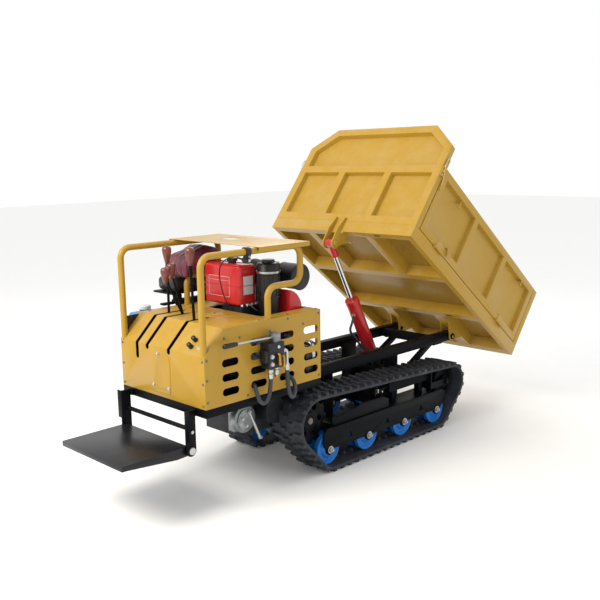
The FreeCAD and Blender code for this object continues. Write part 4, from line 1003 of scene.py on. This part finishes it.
for word, side in (("right", -1), ("left", 1)):
    buildTrack("rubber_track_" + word, "track_" + word, side)
    buildWheels(word, side)
axleSteel = turnedSolid([(0, 0), (0, 0.020), (0.006, 0.024), (0.166, 0.024), (0.166, 0.062), (0.190, 0.062),
                         (0.190, 0.024), (0.510, 0.024), (0.510, 0.062), (0.534, 0.062), (0.534, 0.024),
                         (0.694, 0.024), (0.700, 0.020), (0.700, 0)], at(835, -350, 335), (0, 1, 0), 40)
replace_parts(newPiece("axle_shaft", axleSteel, rawSteel, "chassis", 35), "drive_axle")
print("tracks done")


# Tipping bed: folded frame and panels in thicker sheet
for part, edge in (("bed_underframe", 0.0018), ("headboard", 0.004), ("rear_posts", 0.0018)):
    dressed(part, bedEnamel, "bed", edge)
dressed("bed_floor", floorEnamel, "bed", 0.001)
dressed("gate_latches", bedEnamel, "bed", 0.0012)
for part in ("side_gate_right", "side_gate_left", "tail_leaf_right", "tail_leaf_left"):
    dressed(part, bedEnamel, part, 0.0018)

bedPlanes = {"sheetFace": -1245.0, "sillTop": 139.5, "frame": 56.0, "bar": 533.4}
seams = []
depth = bedPlanes["sheetFace"]
for low, high in ((-549.5, -226), (-170, 170), (226, 549.5)):
    z0, z1 = bedPlanes["sillTop"] + bedPlanes["frame"], bedPlanes["bar"]
    for a, b in (((low, z0), (low, z1)), ((high, z0), (high, z1)), ((low, z0), (high, z0)),
                 ((low, z1), (high, z1))):
        for k in range(3):
            s, e = 0.08 + 0.34 * k, 0.22 + 0.34 * k
            pa = inBed(depth, a[0] + (b[0] - a[0]) * s, a[1] + (b[1] - a[1]) * s)
            pb = inBed(depth, a[0] + (b[0] - a[0]) * e, a[1] + (b[1] - a[1]) * e)
            seams.append((pa, pb))
steadyBead("headboard_welds", seams, bedEnamel, "bed", 0.004)
beamWelds = []
for x in (-790, -730, -260, -200):
    for s in (-1, 1):
        beamWelds.append((inBed(x, s * 565, 62), inBed(x, s * 565, 130)))
        if x == -790:
            beamWelds += [(inBed(x, s * y, 62), inBed(x, s * y, 130)) for y in (220, 280)]
steadyBead("underframe_welds", beamWelds, bedEnamel, "bed", 0.004)
latchBolts = []
for side, out in ((-1, outRight), (1, outLeft)):
    latchBolts += [(inBed(-1263, side * 611.5, z), out) for z in (530, 580)]
boltSet("latch_bolts", latchBolts, zincSteel, "bed", 0.012, 0.005, 0.010)
pinHeads = [(inBed(0, side * 268.5, 0), out) for side, out in ((-1, outRight), (1, outLeft))]
boltSet("hinge_pin_heads", pinHeads, zincSteel, "bed", 0.022, 0.008, 0.014)


def gateRods(name, spots, body, side):
    # Bent rope hooks of round bar, welded to the gate's frame.
    hooks = bmesh.new()
    for x, z, turn in spots:
        outside = side * 605.5
        run = [inBed(x, outside - side * 34, z), inBed(x, outside + side * 8, z - 4),
               inBed(x + turn, outside + side * 12, z - 52)]
        addSolid(hooks, tubeSolid(roundedPath(run, 0.012, 6), 0.0065, 14))
    newPiece(name, hooks, bedEnamel, body, 50)


for word, side in (("right", -1), ("left", 1)):
    gateRods("gate_hooks_" + word, [(-977, 520, -16), (39, 540, -16), (-910, 210, 16)], "side_gate_" + word,
             side)
    pull = roundedPath([inBed(-1263, side * 622, 636), inBed(-1263, side * 622, 560),
                        inBed(-1240, side * 620, 500), inBed(-1225, side * 618, 440)], 0.03, 6)
    newPiece("latch_handle_" + word, tubeSolid(pull, 0.0055, 14), bedEnamel, "bed", 50)
    wire = curvedPath([inBed(-1262, side * 620, 560), inBed(-1282, side * 622, 590),
                       inBed(-1278, side * 622, 640), inBed(-1258, side * 620, 652)], 8)
    newPiece("latch_wire_" + word, tubeSolid(wire, 0.0025, 10), zincSteel, "bed", 50)
# Four thin black patches on the bed floor are painted shade, standing in for the dark inside of slots in the
# floor sheet.
slotShadeMesh = bmesh.new()
along, across = bedAlong, Vector((0, 1, 0))
for x, ys in ((-1262, (-330, 60)), (-230, (-330, 60))):
    for y in ys:
        centre = inBed(x, y, 58.2)
        corners = [centre + along * a + across * b
                   for a, b in ((-0.007, -0.024), (0.007, -0.024), (0.007, 0.024), (-0.007, 0.024))]
        low = [slotShadeMesh.verts.new(corner) for corner in corners]
        high = [slotShadeMesh.verts.new(corner + bedUp * 0.004) for corner in corners]
        slotShadeMesh.faces.new(low)
        slotShadeMesh.faces.new(high)
        for k in range(4):
            slotShadeMesh.faces.new((low[k], low[(k + 1) % 4], high[(k + 1) % 4], high[k]))
newPiece("painted_slot_shade", slotShadeMesh, heatBlack, "bed")
print("bed done")


# Lift ram: red barrel with a gland ring, hard-chromed rod
ram = {"baseX": 1850.0, "baseZ": 500.0, "tipX": 1410.0, "tipZ": 1343.0}
ramBase, ramTip = at(ram["baseX"], 0, ram["baseZ"]), at(ram["tipX"], 0, ram["tipZ"])
ramAxis = (ramTip - ramBase).normalized()
ramLength = (ramTip - ramBase).length
ramSide = Vector((0, 1, 0))
barrelShape = turnedSolid([(0.018, 0), (0.018, 0.024), (0.045, 0.024), (0.045, 0.040), (0.049, 0.046),
                           (0.455, 0.046),
                           (0.457, 0.0445), (0.461, 0.0445), (0.463, 0.049), (0.491, 0.049), (0.495, 0.046),
                           (0.495, 0.018), (0.490, 0.0166), (0.460, 0.0166), (0.460, 0)], ramBase, ramAxis,
                          56)
addSolid(barrelShape, turnedSolid([(0, 0.0128), (0, 0.025), (0.002, 0.028), (0.054, 0.028), (0.056, 0.025),
                                   (0.056, 0.0128)], ramBase - ramSide * 0.028, ramSide, 40))
barrelPiece = newPiece("ram_tube", barrelShape, redEnamel, "ram_barrel", 35)
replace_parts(barrelPiece, "ram_barrel")
rodShape = turnedSolid([(ramLength - 0.606, 0), (ramLength - 0.606, 0.037), (ramLength - 0.576, 0.037),
                        (ramLength - 0.576, 0.016), (ramLength - 0.030, 0.016), (ramLength - 0.026, 0.0175),
                        (ramLength - 0.018, 0.0175), (ramLength - 0.018, 0)], ramBase, ramAxis, 40)
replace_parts(newPiece("ram_piston", rodShape, hardChrome, "ram_rod", 35), "ram_rod")
newPiece("ram_eye", turnedSolid([(0, 0.0125), (0, 0.025), (0.002, 0.028), (0.054, 0.028), (0.056, 0.025),
                                 (0.056, 0.0125)], ramTip - ramSide * 0.028, ramSide, 40), redEnamel,
         "ram_rod", 35)
pinAxle = turnedSolid([(0, 0), (0, 0.0105), (0.002, 0.0123), (0.084, 0.0123), (0.086, 0.0105), (0.086, 0)],
                      ramTip - ramSide * 0.043, ramSide, 28)
newPiece("ram_pin", pinAxle, zincSteel, "bed", 35)
newPiece("ram_sleeve",
         turnedSolid([(ramLength - 0.105, 0.0158), (ramLength - 0.105, 0.020), (ramLength - 0.102, 0.0225),
                      (ramLength - 0.040, 0.0225), (ramLength - 0.022, 0.019),
                      (ramLength - 0.022, 0.0158)], ramBase, ramAxis, 40), redEnamel, "ram_rod",
         35)
portOut = ramAxis.cross(ramSide)
if portOut.x > 0:
    portOut = -portOut
portOut = (portOut + outRight * 0.5).normalized()
portSpot = ramBase + ramAxis * 0.405 + portOut * 0.040
newPiece("ram_port", turnedSolid([(0, 0), (0, 0.015), (0.022, 0.015), (0.022, 0)], portSpot, portOut, 24),
         redEnamel, "ram_barrel", 35)
newPiece("ram_union",
         turnedSolid([(0.018, 0), (0.018, 0.0125), (0.030, 0.0125), (0.031, 0.0105), (0.046, 0.0105),
                      (0.046, 0)], portSpot, portOut, 20), zincSteel, "ram_barrel", 35)
hoseStart = portSpot + portOut * 0.040
ramHose = tubeSolid(curvedPath([hoseStart, hoseStart + portOut * 0.035 + Vector((0, 0, -0.012)),
                                hoseStart + Vector((-0.055, -0.02, -0.085)), at(1585, -58, 690),
                                at(1660, -60, 612), at(1735, -50, 577), at(1790, -40, 560)], 10), 0.0085,
                    18)
hoseData = bpy.data.meshes.new("ram_hose")
bmesh.ops.recalc_face_normals(ramHose, faces=ramHose.faces)
ramHose.to_mesh(hoseData)
ramHose.free()
for polygon in hoseData.polygons:
    polygon.use_smooth = True
hoseData.materials.append(hoseRubber)
hosePiece = bpy.data.objects.new("ram_hose", hoseData)
bpy.context.scene.collection.objects.link(hosePiece)
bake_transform(hosePiece)
print("ram done")


# Oil tank beyond the far panel, with a pale cap
oilShell = boxSolid(at(150, 388.5, 850), at(330, 520, 1000), 0.018, 6)
addSolid(oilShell, boxSolid(at(148, 387, 923), at(332, 522, 926), 0.001, 1))
addSolid(oilShell, turnedSolid([(0, 0), (0, 0.030), (0.016, 0.030), (0.016, 0)], at(235, 465, 998),
                               (0, 0, 1), 40))
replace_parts(newPiece("oil_shell", oilShell, tankBlueEnamel, "chassis", 40), "oil_tank")
oilCap = turnedSolid([(0, 0), (0, 0.037), (0.003, 0.040), (0.020, 0.040), (0.024, 0.037), (0.025, 0.020),
                      (0.026, 0.019), (0.026, 0)], at(235, 465, 1014), (0, 0, 1), 48)
newPiece("oil_cap", oilCap, labelFilm, "chassis", 35)
boltSet("oil_bracket_bolts", [(at(x, 525, 844), outLeft) for x in (170, 310)], zincSteel, "chassis",
        0.014, 0.006, 0.011)


# Seat: padded vinyl with sewn channels, inflated by cloth pressure
seatPads = {"voxel": 0.0055, "pressure": 4.0, "frames": 20, "shrink": 0.90, "most": 0.012,
            "channelDepth": 0.006, "channelWide": 0.006}


def softPad(name, node, material, channels, channelAxis):
    # channels are places along channelAxis, in metres, where a row of stitches pulls the pad in.
    data = cadNodes[node].data.copy()
    middle = sum((vert.co for vert in data.vertices), Vector()) / len(data.vertices)
    for vert in data.vertices:
        vert.co = middle + (vert.co - middle) * seatPads["shrink"]
    pad = newPiece(name, data, material, "chassis", 180)
    remesh = pad.modifiers.new("skin", "REMESH")
    remesh.mode = "VOXEL"
    remesh.voxel_size = seatPads["voxel"] * 1.0
    applyModifiers(pad)
    rest = [vert.co.copy() for vert in pad.data.vertices]
    cloth = pad.modifiers.new("air", "CLOTH")
    cloth.settings.use_pressure = True
    cloth.settings.uniform_pressure_force = seatPads["pressure"]
    cloth.settings.effector_weights.gravity = 0.0
    cloth.settings.quality = 5
    cloth.settings.mass = 0.3
    cloth.point_cache.frame_start = 1
    cloth.point_cache.frame_end = seatPads["frames"]
    for step in range(1, seatPads["frames"] + 1):
        bpy.context.scene.frame_set(step)
    applyModifiers(pad)
    for vert, before in zip(pad.data.vertices, rest):
        shift = vert.co - before
        if shift.length > seatPads["most"]:
            vert.co = before + shift.normalized() * seatPads["most"]
    bpy.context.scene.frame_set(1)
    finer = pad.modifiers.new("smooth", "SUBSURF")
    finer.levels = 1
    applyModifiers(pad)
    index = {"x": 0, "y": 1, "z": 2}[channelAxis]
    moves = []
    for vert in pad.data.vertices:
        near = min(abs(vert.co[index] - place) for place in channels)
        hollow = math.exp(-(near / seatPads["channelWide"]) ** 2)
        moves.append(vert.normal * -seatPads["channelDepth"] * hollow)
    for vert, move in zip(pad.data.vertices, moves):
        vert.co += move
    for polygon in pad.data.polygons:
        polygon.use_smooth = True
    pad.data.materials.clear()
    pad.data.materials.append(material)
    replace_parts(pad, node)
    return pad


softPad("seat_back_pad", "seat_back", burgundyVinyl, [0.32, 0.365, 0.41, 0.455], "y")
softPad("seat_pad", "seat_cushion", blackVinyl, [at(x, 0, 0).x for x in (490, 570, 650)], "x")
print("seat done")


# Pale studio floor
floorPaint = bpy.data.materials.new("studioFloor")
floorPaint.use_nodes = True
floorTree = floorPaint.node_tree
floorTree.nodes.clear()
floorPlace = addNode(floorTree, "ShaderNodeTexCoord")
floorNoise = addNode(floorTree, "ShaderNodeTexNoise", {"Scale": 6.0, "Detail": 4.0},
                     {"Vector": floorPlace.outputs["Object"]})
floorTone = addNode(floorTree, "ShaderNodeMix", {"data_type": "RGBA", 6: hexColour("#F3F3F2"),
                                                 7: hexColour("#F7F7F6")}, {0: floorNoise.outputs["Fac"]})
finishMaterial(floorTree, {"Roughness": 0.9}, {"Base Color": floorTone.outputs[2]})
ground = bpy.data.meshes.new("floor")
reach = 30.0
ground.from_pydata([(-reach, -reach, 0), (reach, -reach, 0), (reach, reach, 0), (-reach, reach, 0)], [],
                   [(0, 1, 2, 3)])
ground.materials.append(floorPaint)
floorPiece = bpy.data.objects.new("floor", ground)
bpy.context.scene.collection.objects.link(floorPiece)

# Soft studio light
studio = {"worldStrength": 1.0,
          "key": {"place": (-4.8, 0.5, 4.3), "target": (0.0, 0.0, 0.7), "size": 2.4, "power": 245.0,
                  "tint": "#FFF8EC"},
          "fill": {"place": (-0.5, -5.5, 2.2), "target": (0.0, 0.0, 0.6), "size": 3.0, "power": 2.0,
                   "tint": "#FFFFFF"},
          "back": {"place": (3.5, 3.0, 4.0), "target": (0.0, 0.0, 0.8), "size": 2.5, "power": 40.0,
                   "tint": "#FFFFFF"}}
world = bpy.data.worlds.new("studio")
bpy.context.scene.world = world
world.use_nodes = True
background = world.node_tree.nodes["Background"]
background.inputs["Color"].default_value = (1.0, 1.0, 1.0, 1.0)
background.inputs["Strength"].default_value = studio["worldStrength"]


def softLight(name):
    values = studio[name]
    lamp = bpy.data.lights.new(name, "AREA")
    lamp.shape = "DISK"
    lamp.size = values["size"]
    lamp.energy = values["power"]
    lamp.color = hexColour(values["tint"])[:3]
    holder = bpy.data.objects.new(name, lamp)
    holder.location = values["place"]
    aim = Vector(values["target"]) - Vector(values["place"])
    holder.rotation_euler = aim.to_track_quat("-Z", "Y").to_euler()
    bpy.context.scene.collection.objects.link(holder)


for lampName in ("key", "fill", "back"):
    softLight(lampName)

# Camera three quarters from the operator's end
cameraPlan = {"place": (-3.9218, -3.6182, 1.9041), "forward": (0.67677, 0.70808, -0.20151),
              "right": (0.71998, -0.69372, -0.01956), "up": (0.15364, 0.13185, 0.97929), "lens": 49.28,
              "shiftX": 0.0504, "shiftY": 0.0435}
cameraData = bpy.data.cameras.new("camera")
cameraData.lens = cameraPlan["lens"]
cameraData.sensor_width = 36.0
cameraData.shift_x = cameraPlan["shiftX"]
cameraData.shift_y = cameraPlan["shiftY"]
camera = bpy.data.objects.new("camera", cameraData)
axes = Matrix((cameraPlan["right"], cameraPlan["up"], [-c for c in cameraPlan["forward"]])).transposed()
camera.matrix_world = Matrix.Translation(cameraPlan["place"]) @ axes.to_4x4()
bpy.context.scene.collection.objects.link(camera)
bpy.context.scene.camera = camera
bpy.context.scene.view_settings.view_transform = "Standard"
print("stage done")
